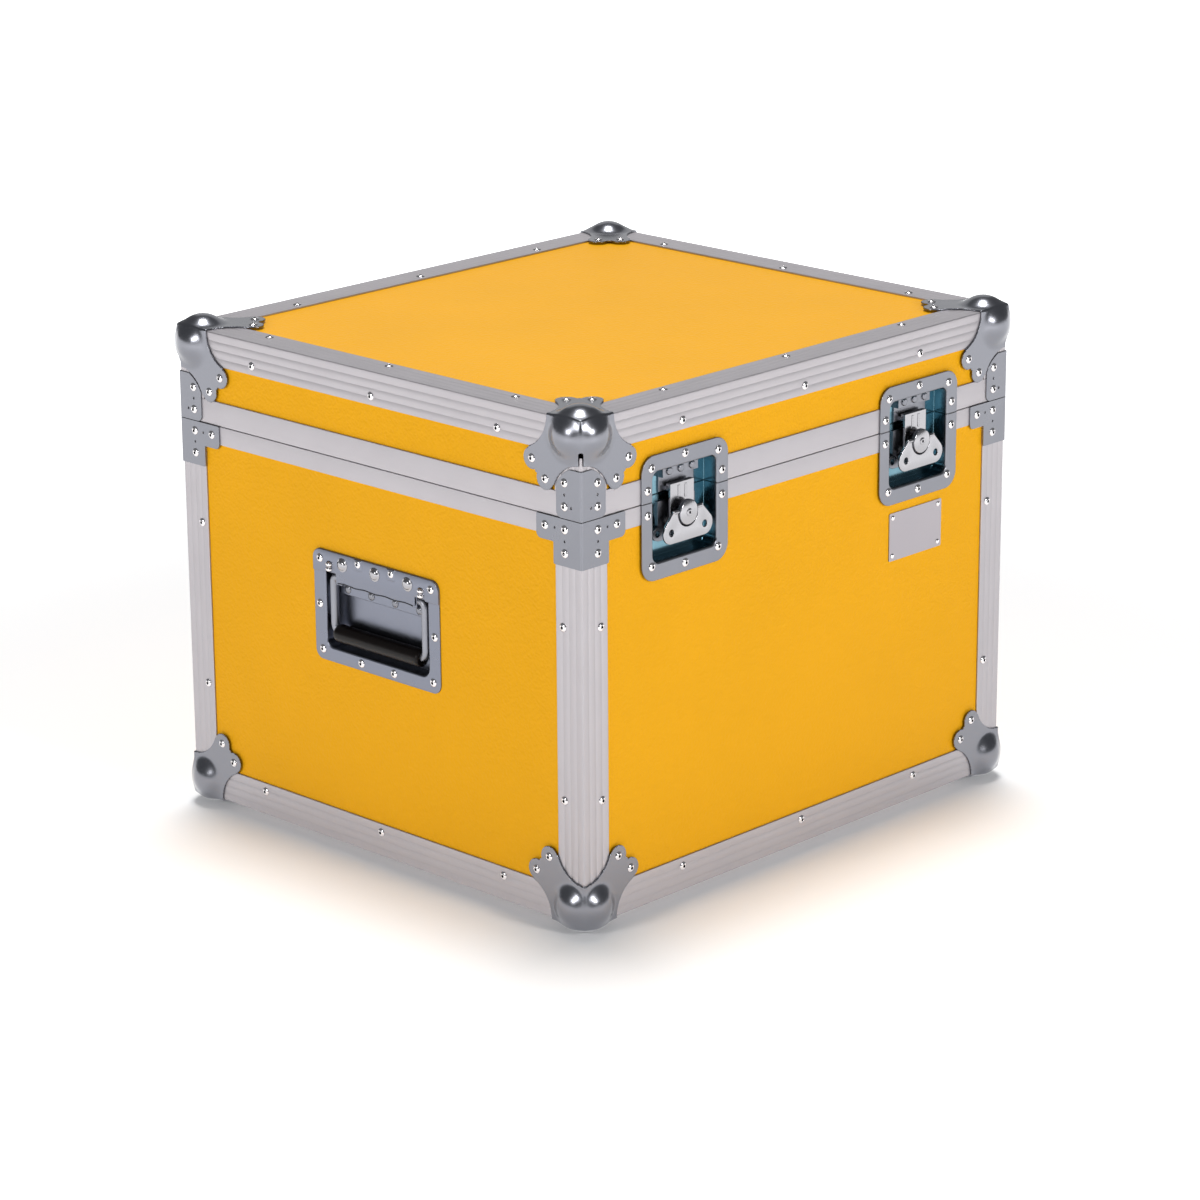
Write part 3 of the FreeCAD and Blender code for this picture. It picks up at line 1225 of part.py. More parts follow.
def hinge_leaf(name, middle, is_base):
    """Leaf with its share of the knuckles; the lid's knuckles carry heels that stop on the base leaf."""
    plate_z = (f"{SEAM} - dim.hinge_base_drop", f"{SEAM} - dim.hinge_leaf_gap")
    web_z = (f"{SEAM} - dim.hinge_leaf_gap", f"{SEAM} - dim.hinge_web_gap")
    if not is_base:
        plate_z = (f"{SEAM} + dim.hinge_leaf_gap", f"{SEAM} + dim.hinge_lid_rise")
        web_z = (f"{SEAM} + dim.hinge_web_gap", f"{SEAM} + dim.hinge_leaf_gap")
    thick = (Y, f"{Y} + dim.hinge_leaf")
    pieces = [box(f"{name}_plate", spread(middle, "dim.hinge_width / 2"), thick, plate_z)]
    for index in range(KNUCKLES):
        start, end = knuckle_span(middle, index)
        own = index % 2 == (0 if is_base else 1)
        if own:
            pieces.append(rod(f"{name}_knuckle_{index}", "x", "dim.knuckle_radius", (start, HINGE_Y, SEAM),
                              f"{PITCH} - dim.knuckle_gap"))
            pieces.append(box(f"{name}_web_{index}", (start, end), thick, web_z))
        if own and not is_base:
            heel = rod(f"{name}_heel_{index}", "x", "dim.heel_radius", (start, HINGE_Y, SEAM),
                       f"{PITCH} - dim.knuckle_gap")
            heel.setExpression("Angle", "dim.heel_sweep")
            tilt = Rotation(Vector(1, 0, 0), value("dim.heel_start"))
            heel.Placement.Rotation = tilt * Rotation(Vector(1, 1, 1), 120)
            pieces.append(heel)
        if is_base and not own:
            pieces.append(box(f"{name}_seat_{index}", (start, end), (Y, f"{Y} + dim.heel_seat_depth"),
                              (f"{SEAM} - dim.hinge_leaf_gap - {MARGIN}", f"{SEAM} - dim.heel_seat_drop")))
    bore = rod(f"{name}_bore", "x", "dim.hinge_pin_radius + dim.running_clearance",
               (f"{middle} - dim.hinge_width / 2 - {MARGIN}", HINGE_Y, SEAM),
               f"dim.hinge_width + 2 * {MARGIN}")
    return cut(name, fuse(f"{name}_whole", pieces), [bore])


def hinge_pin(name, middle):
    """Pin with a head at each end."""
    start = f"{middle} - dim.hinge_width / 2"
    low = f"{start} - dim.hinge_pin_head"
    shank = rod(f"{name}_shank", "x", "dim.hinge_pin_radius", (low, HINGE_Y, SEAM),
                "dim.hinge_width + 2 * dim.hinge_pin_head")
    heads = [
        rod(f"{name}_head_{label}", "x", "dim.hinge_pin_head_radius", (end, HINGE_Y, SEAM),
            "dim.hinge_pin_head")
        for label, end in (("a", low), ("b", f"{start} + dim.hinge_width"))
    ]
    return fuse(name, [shank, *heads])


base_leaves = group("base_leaves", [hinge_leaf(f"hinge_{s}_base", m, True) for s, m in HINGES.items()])
lid_leaves = group("lid_leaves", [hinge_leaf(f"hinge_{s}_lid", m, False) for s, m in HINGES.items()])
node("hinge_pins", group("pins", [hinge_pin(f"hinge_{s}_pin", m) for s, m in HINGES.items()]))
for middle in HINGES.values():
    for step in (-1, 0, 1):
        along = f"{middle} + {step} * dim.hinge_rivet_pitch"
        rivet("base", "back", along, f"{SEAM} - dim.hinge_base_rivet", "dim.hinge_leaf", CHANNEL)
        rivet("lid", "back", along, f"{SEAM} + dim.hinge_lid_rivet", "dim.hinge_leaf", CHANNEL)


# Rivets, and the holes drilled for their shanks

HEADS = {
    "plain": (value("dim.rivet_head_radius"), value("dim.rivet_head_height"), True),
    "dome": (value("dim.dome_head_radius"), value("dim.dome_head_height"), False),
    "small": (value("dim.badge_rivet_head_radius"), value("dim.badge_rivet_head_height"), False),
}
SHANK = value("dim.rivet_shank_radius")
HOLE = SHANK + value("dim.rivet_hole_clearance")
OUTWARD = {
    "front": Vector(0, -1, 0), "back": Vector(0, 1, 0), "left": Vector(-1, 0, 0),
    "right": Vector(1, 0, 0), "bottom": Vector(0, 0, -1), "top": Vector(0, 0, 1),
}


def rivet_seat(face, along, up, seat):
    """Point where a rivet's head meets its seat."""
    spots = {
        "front": (along, -value(Y) - seat, up), "back": (along, value(Y) + seat, up),
        "left": (-value(X) - seat, along, up), "right": (value(X) + seat, along, up),
        "bottom": (along, up, value(BOTTOM) - seat), "top": (along, up, value(TOP) + seat),
    }
    return Vector(*spots[face])


def rivet_head(kind):
    """Domed head standing on z = 0, with the mandrel's hole where it has one."""
    radius, height, hollow = HEADS[kind]
    ball = (radius * radius + height * height) / (2 * height)
    dome = Part.makeSphere(ball, Vector(0, 0, height - ball))
    dome = dome.common(Part.makeCylinder(2 * ball, 2 * ball))
    if hollow:
        depth = value("dim.rivet_mandrel_depth")
        pit = Part.makeCylinder(value("dim.rivet_mandrel_radius"), 2 * depth, Vector(0, 0, height - depth))
        dome = dome.cut(pit)
    return dome


HEAD_SHAPES = {kind: rivet_head(kind) for kind in HEADS}


def rivet_solid(face, along, up, seat, reach, head):
    """One rivet in its place."""
    solid = HEAD_SHAPES[head].fuse(Part.makeCylinder(SHANK, seat + reach, Vector(), Vector(0, 0, -1)))
    facing = Rotation(Vector(0, 0, 1), OUTWARD[face])
    solid.Placement = FreeCAD.Placement(rivet_seat(face, along, up, seat), facing)
    return solid


def rivet_hole(face, along, up, seat, reach):
    """Drilling for one rivet's shank, through everything that it holds."""
    top = rivet_seat(face, along, up, seat) + OUTWARD[face] * MARGIN
    return Part.makeCylinder(HOLE, seat + reach + 2 * MARGIN, top, -OUTWARD[face])


def drilled(label, piece, side):
    """Node with the holes of the rivets that pass through it."""
    doc.recompute()
    room = piece.Shape.BoundBox
    holes = [rivet_hole(*note[:5]) for note in RIVETS[side]]
    holes = [hole for hole in holes if hole.BoundBox.intersect(room)]
    tool = doc.addObject("Part::Feature", f"{label}_holes")
    tool.Shape = Part.makeCompound(holes)
    result = doc.addObject("Part::Cut", f"{label}_drilled")
    result.Base = piece
    result.Tool = tool
    return node(label, result)


for side in ("base", "lid"):
    rivets = doc.addObject("Part::Feature", f"{side}_rivet_set")
    rivets.Shape = Part.makeCompound([rivet_solid(*note) for note in RIVETS[side]])
    node(f"{side}_rivets", rivets)


def handle_cut(name):
    """Block that clears the handle's tray through the left board."""
    room = "dim.handle_sheet + dim.dish_clearance"
    return box(name, (f"-{X}", f"-{X} + {INNER} + {MARGIN}"),
               (f"-dim.handle_cavity_half - ({room})", f"dim.handle_cavity_half + {room}"),
               (f"{HANDLE_Z} - dim.handle_cavity_bottom - ({room})",
                f"{HANDLE_Z} + dim.handle_cavity_top + {room}"))


base_left_board = cut("base_left_cut", base_walls[2], [handle_cut("handle_room")])
base_right_board = mirror("base_right_board", base_left_board, (1, 0, 0))
lid_right_board = mirror("lid_right_board", lid_walls[2], (1, 0, 0))

for label, piece in (
        ("base_front_panel", base_front_board), ("base_back_panel", base_walls[1]),
        ("base_left_panel", base_left_board), ("base_right_panel", base_right_board),
        ("base_floor_panel", floor_board), ("base_edges", base_edges), ("base_uprights", base_uprights),
        ("base_front_rim", base_front_rim), ("base_back_rim", base_rims[1]),
        ("base_left_rim", base_rims[2]), ("base_right_rim", base_rims[3]),
        ("base_ball_corners", base_balls), ("base_corner_braces", base_braces), ("badge_plate", badge),
        ("hinge_base_leaves", base_leaves)):
    drilled(label, piece, "base")
for label, piece in (
        ("lid_front_panel", lid_front_board), ("lid_back_panel", lid_walls[1]),
        ("lid_left_panel", lid_walls[2]), ("lid_right_panel", lid_right_board),
        ("lid_top_panel", top_board), ("lid_edges", lid_edges),
        ("lid_uprights", lid_uprights), ("lid_front_rim", lid_front_rim), ("lid_back_rim", lid_rims[1]),
        ("lid_left_rim", lid_rims[2]), ("lid_right_rim", lid_rims[3]), ("lid_ball_corners", lid_balls),
        ("lid_corner_braces", lid_braces), ("hinge_lid_leaves", lid_leaves)):
    drilled(label, piece, "lid")
for side in LATCHES:
    drilled(f"latch_{side}_lower_dish", lower_dishes[side], "base")
    drilled(f"latch_{side}_upper_dish", upper_dishes[side], "lid")
for label, piece in handle_parts.items():
    drilled(f"handle_left_{label}", piece, "base")
    drilled(f"handle_right_{label}", mirror(f"right_{label}", piece, (1, 0, 0)), "base")

doc.recompute()
for piece in doc.Objects:
    if "Invalid" in piece.State or "Error" in piece.State:
        raise RuntimeError(f"{piece.Label} did not build: {piece.State}")
for label, piece in NODES.items():
    if piece.Shape.isNull() or not piece.Shape.isValid() or not piece.Shape.Solids:
        raise RuntimeError(f"{label} has no valid solid")

os.makedirs("parts", exist_ok=True)
for label, piece in NODES.items():
    piece.Shape.exportStep(f"parts/{label}.step")
    print(label, len(piece.Shape.Solids), round(piece.Shape.Volume))
print(len(NODES), "nodes")
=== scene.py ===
"""Looks of a flight case: laminated boards in aluminium edging, ball corners, latches and handles.

Metres, +Z up, the front faces -Y. Sections and outlines are drawn in millimetres and scaled by MM.
"""
import math

import bmesh
import bpy
import numpy as np
from bpy.props import FloatProperty, FloatVectorProperty, PointerProperty
from mathutils import Matrix, Vector


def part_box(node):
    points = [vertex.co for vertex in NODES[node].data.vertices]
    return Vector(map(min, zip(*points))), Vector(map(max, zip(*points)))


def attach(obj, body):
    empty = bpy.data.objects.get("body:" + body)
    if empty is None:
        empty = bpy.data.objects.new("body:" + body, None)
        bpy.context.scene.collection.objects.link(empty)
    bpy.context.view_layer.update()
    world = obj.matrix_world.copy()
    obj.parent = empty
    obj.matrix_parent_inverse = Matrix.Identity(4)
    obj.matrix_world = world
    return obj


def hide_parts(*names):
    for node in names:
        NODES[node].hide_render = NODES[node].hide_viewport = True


bl_info = {
    "name": "Flight case",
    "version": (1, 0, 0),
    "blender": (4, 5, 0),
    "location": "View3D > Sidebar > Flight case",
    "description": "Dresses the packed frame of a flight case",
    "category": "Object",
}

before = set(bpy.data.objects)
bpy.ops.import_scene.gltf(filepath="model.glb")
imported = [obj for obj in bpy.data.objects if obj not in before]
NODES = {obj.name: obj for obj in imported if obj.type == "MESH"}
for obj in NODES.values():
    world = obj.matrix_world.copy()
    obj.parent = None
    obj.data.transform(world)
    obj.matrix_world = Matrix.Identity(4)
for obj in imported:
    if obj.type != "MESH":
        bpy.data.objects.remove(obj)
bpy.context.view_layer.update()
MM = 0.001

# Planes of the case, read from the frame
LOW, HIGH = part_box("base_edges")[0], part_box("lid_edges")[1]
HALF_X, HALF_Y, BOTTOM, TOP = HIGH.x, HIGH.y, LOW.z, HIGH.z
SEAM_GAP = 0.4
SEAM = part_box("lid_back_rim")[0].z - SEAM_GAP / 2 * MM
MIDDLE = Vector((0, 0, (BOTTOM + TOP) / 2))
UP = Vector((0, 0, 1))
FRONT = Vector((0, -1, 0))

# Each wall: name, foot of its outer face, direction along it, direction inwards, half its length
WALLS = (
    ("front", Vector((0, -HALF_Y, 0)), Vector((1, 0, 0)), Vector((0, 1, 0)), HALF_X),
    ("back", Vector((0, HALF_Y, 0)), Vector((1, 0, 0)), Vector((0, -1, 0)), HALF_X),
    ("left", Vector((-HALF_X, 0, 0)), Vector((0, 1, 0)), Vector((1, 0, 0)), HALF_Y),
    ("right", Vector((HALF_X, 0, 0)), Vector((0, 1, 0)), Vector((-1, 0, 0)), HALF_Y),
)
CORNERS = ((-1, -1), (1, -1), (1, 1), (-1, 1))

# Sizes of the solids that the pieces repeat, in millimetres
WALL, INNER, CHANNEL = 1.8, 10.8, 12.3
LEG, FIN, EDGE_END = 30.5, 27.0, 31.0
BASE_RIM, BASE_WEB, LID_RIM, LID_WEB = 17.4, 3.0, 22.2, 8.0
TONGUE_START, TONGUE_END, TONGUE, GROOVE_ROOM = 4.0, 8.0, 3.5, 1.0
MITRE_GAP = 0.2
LATCH_X, LATCH_ROOM, TRAY_BACK = 153.7, 41.2, 14.6
BALL_RADIUS, BALL_INSET, BALL_SHEET, FOOT_FLAT = 24.9, 15.2, 1.5, 9.2
WING_NEAR, WING_FAR, WING_LOBE, WING_VALLEY = 40.2, 55.3, 9.6, 5.2
ARCH, ARCH_RADIUS = 70.6, 32.4
SLOT_HALF, SLOT_START, SLOT_REACH = 2.2, 28.2, 6.0
BRACE_SHEET, BRACE_BEND = 1.2, 2.0
BRACE_ARCH = ARCH_RADIUS - 1.5

# Reach of the materials in millimetres: skin of laminate, bend of its grain, start of a tray's blue film and
# painted shade
LAMINATE, GRAIN_WAVER, TRAY_FADE = 1.0, 1.6, 6.0

# Fineness of the meshes
ARC_STEPS, RIVET_SEGMENTS, BOSS_SEGMENTS = 4, 20, 48


def linear(code):
    """Linear colour of an sRGB hex value."""
    channels = [int(code[i:i + 2], 16) / 255 for i in (0, 2, 4)]
    return tuple(c / 12.92 if c <= 0.04045 else ((c + 0.055) / 1.055) ** 2.4 for c in channels)


def size(name, description, millimetres):
    """Property for a length that a user would change."""
    return FloatProperty(name=name, description=description, default=millimetres * MM, min=0,
                         unit="LENGTH", subtype="DISTANCE", precision=4)


def colour(name, description, code):
    """Property for a colour that a user would change."""
    return FloatVectorProperty(name=name, description=description, default=linear(code), min=0, max=1,
                               subtype="COLOR")


class CaseSizes(bpy.types.PropertyGroup):
    """Lengths of the dressed case."""

    corner_round: size("Edge corner", "Radius along the outer corner of the extrusions", 1.2)
    groove_depth: size("Groove depth", "Depth of the lengthwise grooves in the extrusions", 0.13)
    groove_width: size("Groove width", "Width of the lengthwise grooves in the extrusions", 1.0)
    ball_flare: size("Ball flare", "Reach of the soft flare between ball and wings", 5.0)
    ball_step: size("Ball mesh", "Mesh spacing of the pressed corners", 0.8)
    grain: size("Grain", "Width of one cell of the laminate's leather grain", 2.6)
    edge_round: size("Sheet edges", "Rounding along the edges of pressed and machined pieces", 0.4)
    dish_round: size("Dish edges", "Rounding along the edges of the recessed dishes", 1.2)
    wing_round: size("Wing edges", "Rounding along the edges of the latch wings", 0.6)
    scallop: size("Scallop", "Rise of the scallops along the lower edge of the handle covers", 0.8)


class CaseColours(bpy.types.PropertyGroup):
    """Colours of the dressed case."""

    laminate: colour("Laminate", "Outer skin of the boards", "F7B21A")
    plywood: colour("Plywood", "Inner face of the boards", "CFAE7C")
    aluminium: colour("Aluminium", "Edge extrusions and rims", "B0ACAF")
    zinc: colour("Zinc", "Plated braces, latch dishes and corners", "7C7D83")
    passivate: colour("Blue passivate", "Dishes and covers of the handles", "787B86")
    # The tray film colours hold painted shade of the recess as well as the blue of the passivate
    film_shade_dark: colour("Dark film", "Blue film in the latch trays, where it is darkest", "446A78")
    film_shade_pale: colour("Pale film", "Blue film in the latch trays, where it is palest", "7C9DA9")
    nickel: colour("Nickel", "Latch keys, hooks and hinge pins", "A09FA2")
    rivet: colour("Rivet", "Rivet heads", "D8D5D6")
    grip: colour("Grip", "Handle sleeves", "0D0705")
    plate: colour("Plate", "Bare plate under the right latch", "9D989C")
    floor: colour("Floor", "Studio floor", "F2F2F2")


def sizes():
    return bpy.context.scene.case_sizes


def colours():
    return bpy.context.scene.case_colours


# Materials


def fill(tree, node, inputs):
    """Set a node's inputs, each to a value or to another node's output."""
    for socket, source in inputs.items():
        if isinstance(source, bpy.types.NodeSocket):
            tree.links.new(source, node.inputs[socket])
        else:
            node.inputs[socket].default_value = source


def add(tree, kind, inputs=None, **settings):
    """Add a shader node with its settings and inputs."""
    made = tree.nodes.new(kind)
    for key, setting in settings.items():
        setattr(made, key, setting)
    fill(tree, made, inputs or {})
    return made


def surface(name):
    """New material with a Principled shader, and the object's own coordinates."""
    material = bpy.data.materials.new(name)
    material.use_nodes = True
    tree = material.node_tree
    tree.nodes.clear()
    shader = add(tree, "ShaderNodeBsdfPrincipled")
    add(tree, "ShaderNodeOutputMaterial", {"Surface": shader.outputs["BSDF"]})
    place = add(tree, "ShaderNodeTexCoord").outputs["Object"]
    return material, tree, shader, place


def shade(base, factor):
    """A colour made darker or lighter, with full alpha."""
    return (*[min(1.0, channel * factor) for channel in base], 1.0)


def laminate_board():
    """Birch plywood with a calendered PVC laminate outside: embossed leather grain, half gloss.

    The grain is about 1 mm on the real sheet and is drawn coarser, so that it shows.
    """
    material, tree, shader, place = surface("pvc_laminate_on_birch_plywood")
    yellow, birch = colours().laminate, colours().plywood
    cells = 1 / sizes().grain
    # Noise bends the cells, so that they are not all of one shape
    waver = add(tree, "ShaderNodeTexNoise", {"Vector": place, "Scale": cells * 0.7, "Detail": 2.0})
    bent = add(tree, "ShaderNodeVectorMath",
               {0: waver.outputs["Color"], 1: (GRAIN_WAVER * MM,) * 3, 2: place}, operation="MULTIPLY_ADD")
    grain = add(tree, "ShaderNodeTexVoronoi",
                {"Vector": bent.outputs[0], "Scale": cells, "Smoothness": 0.6}, feature="SMOOTH_F1")
    broad = add(tree, "ShaderNodeTexNoise", {"Vector": place, "Scale": 9.0, "Detail": 3.0})
    skin = add(tree, "ShaderNodeMix",
               {"Factor": broad.outputs[0], 6: shade(yellow, 0.95), 7: shade(yellow, 1.04)}, data_type="RGBA")
    # Wood fibres run along the case, about 6 mm wide and 80 mm long
    stretched = add(tree, "ShaderNodeMapping", {"Vector": place, "Scale": (6.0, 90.0, 90.0)})
    fibre = add(tree, "ShaderNodeTexNoise", {"Vector": stretched.outputs[0], "Scale": 2.0, "Detail": 4.0})
    wood = add(tree, "ShaderNodeMix",
               {"Factor": fibre.outputs[0], 6: shade(birch, 0.82), 7: shade(birch, 1.1)}, data_type="RGBA")
    # The laminate is the outermost millimetre on every side of the case
    centred = add(tree, "ShaderNodeVectorMath", {0: place, 1: tuple(MIDDLE)}, operation="SUBTRACT")
    apart = add(tree, "ShaderNodeVectorMath", {0: centred.outputs[0]}, operation="ABSOLUTE")
    split = add(tree, "ShaderNodeSeparateXYZ", {0: apart.outputs[0]})
    outside = None
    for axis, half in enumerate((HALF_X, HALF_Y, (TOP - BOTTOM) / 2)):
        over = add(tree, "ShaderNodeMath", {0: split.outputs[axis], 1: half - (WALL + LAMINATE) * MM},
                   operation="GREATER_THAN").outputs[0]
        outside = over if outside is None else add(tree, "ShaderNodeMath", {0: outside, 1: over},
                                                   operation="MAXIMUM").outputs[0]
    both = add(tree, "ShaderNodeMix", {"Factor": outside, 6: wood.outputs[2], 7: skin.outputs[2]},
               data_type="RGBA")
    height = add(tree, "ShaderNodeMath", {0: grain.outputs[0], 1: outside}, operation="MULTIPLY")
    relief = add(tree, "ShaderNodeBump", {"Height": height.outputs[0], "Strength": 0.7, "Distance": 0.0006})
    rough = add(tree, "ShaderNodeMapRange", {"Value": outside, 3: 0.6, 4: 0.42})
    fill(tree, shader, {"Base Color": both.outputs[2], "Roughness": rough.outputs[0], "IOR": 1.53,
                        "Specular IOR Level": 0.05, "Normal": relief.outputs[0]})
    return material


def metal(name, base, roughness, spread, lines=None, line_depth=0.0, mottle=60.0, tint=0.06, edge=0.0):
    """Metal with lengthwise lines or a faint mottle; lines gives repeats per metre along each axis.

    edge is the radius over which sharp edges catch the light.
    """
    material, tree, shader, place = surface(name)
    repeats = lines or (mottle,) * 3
    stretched = add(tree, "ShaderNodeMapping", {"Vector": place, "Scale": repeats})
    streak = add(tree, "ShaderNodeTexNoise", {"Vector": stretched.outputs[0], "Scale": 1.0, "Detail": 3.0,
                                              "Roughness": 0.6})
    cloud = add(tree, "ShaderNodeTexNoise", {"Vector": place, "Scale": mottle * 0.4, "Detail": 2.0})
    both = add(tree, "ShaderNodeMath", {0: streak.outputs[0], 1: cloud.outputs[0]}, operation="ADD")
    half = add(tree, "ShaderNodeMath", {0: both.outputs[0], 1: 0.5}, operation="MULTIPLY")
    toned = add(tree, "ShaderNodeMix", {"Factor": half.outputs[0], 6: shade(base, 1 - tint),
                                        7: shade(base, 1 + tint)}, data_type="RGBA")
    rough = add(tree, "ShaderNodeMapRange", {"Value": half.outputs[0], 1: 0.3, 2: 0.7,
                                             3: roughness - spread, 4: roughness + spread})
    inputs = {"Base Color": toned.outputs[2], "Metallic": 1.0, "Roughness": rough.outputs[0]}
    if line_depth:
        relief = add(tree, "ShaderNodeBump", {"Height": streak.outputs[0], "Strength": 0.5,
                                              "Distance": line_depth})
        inputs["Normal"] = relief.outputs[0]
    elif edge:
        inputs["Normal"] = add(tree, "ShaderNodeBevel", {"Radius": edge}, samples=6).outputs[0]
    fill(tree, shader, inputs)
    return material


def make_materials():
    """All finishes, by the names that the operators use."""
    tint = colours()
    # Mill-finish extrusion: pale satin grey, with die lines along the bar. Real lines are finer than
    # 0.2 mm and are drawn about 1 mm wide, so that they show
    aluminium = metal("extruded_aluminium_mill_finish", tint.aluminium, 0.52, 0.06,
                      (1.2, 900.0, 900.0), 0.00004)
    # Blue-passivated zinc on pressed steel: cool grey with soft reflections
    zinc = metal("pressed_steel_zinc_plated", tint.zinc, 0.3, 0.05, mottle=55.0, tint=0.05,
                 edge=sizes().edge_round)
    # Thicker blue passivate on the handles: a bluer grey, with broad soft light along the edges
    blue = metal("pressed_steel_blue_passivated", tint.passivate, 0.3, 0.05, mottle=55.0, tint=0.05,
                 edge=sizes().dish_round)
    # Plain zinc on the drawn ball, which the press leaves smoother
    drawn = metal("drawn_steel_zinc_plated", tint.zinc, 0.24, 0.03, mottle=40.0, tint=0.04)
    # Nickel over steel: warm bright grey, near mirror
    nickel = metal("bright_nickel_plated_steel", tint.nickel, 0.2, 0.05, mottle=90.0, tint=0.04,
                   edge=sizes().edge_round)
    # Zinc on drawn rod and turned sides, which keep the tool's fine marks: more satin, and a lighter copy of
    # the zinc that paints on the light they catch
    satin = metal("turned_rod_zinc_painted_lighter", shade(tint.zinc, 1.3)[:3], 0.42, 0.05, mottle=70.0, tint=0.04)
    # Headed rivet steel, tumbled: bright, with small sharp reflections
    rivet = metal("tumbled_rivet_steel", tint.rivet, 0.16, 0.04, mottle=300.0, tint=0.05)
    # Brushed aluminium sheet: fine strokes along the plate, 0.4 mm apart
    plate = metal("brushed_aluminium_sheet", tint.plate, 0.38, 0.06, (8.0, 8.0, 2600.0), 0.00002)
    # Drawn spring wire, oiled: dark grey with a dull shine
    wire = metal("oiled_spring_wire", shade(tint.zinc, 0.35)[:3], 0.35, 0.05)
    # Snapped rivet mandrel deep in the head: dull broken steel, painted near black for the shade in the
    # rivet's pit
    mandrel_shade = metal("snapped_mandrel_painted_shade", shade(tint.zinc, 0.08)[:3], 0.6, 0.1, mottle=900.0)
    return {
        "board": laminate_board(), "aluminium": aluminium, "zinc": zinc, "blue": blue, "drawn": drawn,
        "nickel": nickel, "satin": satin, "rivet": rivet, "mandrel_shade": mandrel_shade, "plate": plate, "wire": wire,
        "grip": grip_vinyl(), "dish": dish_zinc(),
    }


def grip_vinyl():
    """Dipped soft PVC sleeve: nearly black, half gloss, slightly uneven."""
    material, tree, shader, place = surface("dipped_pvc")
    uneven = add(tree, "ShaderNodeTexNoise", {"Vector": place, "Scale": 220.0, "Detail": 3.0})
    rough = add(tree, "ShaderNodeMapRange", {"Value": uneven.outputs[0], 1: 0.3, 2: 0.7, 3: 0.3, 4: 0.36})
    relief = add(tree, "ShaderNodeBump", {"Height": uneven.outputs[0], "Strength": 0.08, "Distance": 0.0005})
    dark = add(tree, "ShaderNodeMix", {"Factor": uneven.outputs[0], 6: shade(colours().grip, 0.9),
                                       7: shade(colours().grip, 1.15)}, data_type="RGBA")
    fill(tree, shader, {"Base Color": dark.outputs[2], "Roughness": rough.outputs[0], "IOR": 1.54,
                        "Specular IOR Level": 0.15, "Normal": relief.outputs[0]})
    return material


def dish_zinc():
    """Latch dish: blue-passivated zinc, painted darker and bluer deep in the pressed tray: the blue of the
    passivate, with painted shade in the recess.
    """
    material, tree, shader, place = surface("deep_drawn_steel_blue_passivated")
    base = colours().zinc
    mottle = add(tree, "ShaderNodeTexNoise", {"Vector": place, "Scale": 45.0, "Detail": 3.0})
    split = add(tree, "ShaderNodeSeparateXYZ", {0: place})
    # Over the first millimetres into the tray the plating turns to the film colours: blue passivate with
    # painted shade
    fall = add(tree, "ShaderNodeMapRange", {"Value": split.outputs[1], 1: -HALF_Y,
                                            2: -HALF_Y + TRAY_FADE * MM, 3: 0.0, 4: 1.0})
    # The back of the tray, inside the case, keeps the plain plating
    front = add(tree, "ShaderNodeMath", {0: split.outputs[1], 1: -HALF_Y + TRAY_BACK * MM},
                operation="LESS_THAN")
    depth = add(tree, "ShaderNodeMath", {0: fall.outputs[0], 1: front.outputs[0]}, operation="MULTIPLY")
    flat = add(tree, "ShaderNodeMix",
               {"Factor": mottle.outputs[0], 6: shade(base, 0.94), 7: shade(base, 1.05)}, data_type="RGBA")
    films = colours()
    deep = add(tree, "ShaderNodeMix", {"Factor": mottle.outputs[0], 6: (*films.film_shade_dark, 1.0),
                                       7: (*films.film_shade_pale, 1.0)}, data_type="RGBA")
    both = add(tree, "ShaderNodeMix", {"Factor": depth.outputs[0], 6: flat.outputs[2], 7: deep.outputs[2]},
               data_type="RGBA")
    rough = add(tree, "ShaderNodeMapRange", {"Value": depth.outputs[0], 3: 0.3, 4: 0.16})
    edges = add(tree, "ShaderNodeBevel", {"Radius": sizes().dish_round}, samples=6)
    fill(tree, shader, {"Base Color": both.outputs[2], "Metallic": 1.0, "Roughness": rough.outputs[0],
                        "Normal": edges.outputs[0]})
    return material


FINISH = {}


def finish(name, *nodes):
    """Give CAD nodes a finish."""
    for node in nodes:
        slots = NODES[node].data.materials
        slots.clear()
        slots.append(FINISH[name])


# Meshes


def piece(name, mesh, matrix, body, material, slot, *nodes):
    """Place a mesh as a piece that rides on a body and stands for CAD nodes."""
    made = bpy.data.objects.new(name, mesh)
    bpy.context.scene.collection.objects.link(made)
    made.matrix_world = matrix
    if not mesh.materials:
        mesh.materials.append(FINISH[material])
    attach(made, body)
    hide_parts(*nodes)
    return made


def mesh_from(name, build, sharp=32.0, finishes=()):
    """Finished mesh out of a bmesh, smooth except at edges sharper than an angle."""
    bmesh.ops.recalc_face_normals(build, faces=build.faces)
    mesh = bpy.data.meshes.new(name)
    build.to_mesh(mesh)
    build.free()
    mesh.shade_smooth()
    mesh.set_sharp_from_angle(angle=math.radians(sharp))
    for key in finishes:
        mesh.materials.append(FINISH[key])
    return mesh


def circle(radius, count, height=0.0):
    """Points round the Z axis."""
    angles = [2 * math.pi * k / count for k in range(count)]
    return [Vector((radius * math.cos(a), radius * math.sin(a), height)) for a in angles]


def facing(direction):
    """Turn that points local Z along a direction."""
    return direction.to_track_quat("Z", "Y").to_matrix().to_4x4()


def join(build, one, two, material=0):
    """Add the band of faces between two rings of points."""
    for i in range(len(one)):
        j = (i + 1) % len(one)
        build.faces.new((one[i], one[j], two[j], two[i])).material_index = material


def baked(mesh, *modifiers):
    """Mesh with modifiers applied; each is (type, settings)."""
    holder = bpy.data.objects.new(mesh.name + "_holder", mesh)
    bpy.context.scene.collection.objects.link(holder)
    for kind, settings in modifiers:
        modifier = holder.modifiers.new(kind.lower(), kind)
        for key, setting in settings.items():
            setattr(modifier, key, setting)
    graph = bpy.context.evaluated_depsgraph_get()
    made = bpy.data.meshes.new_from_object(holder.evaluated_get(graph))
    made.name = mesh.name
    bpy.data.objects.remove(holder)
    return made


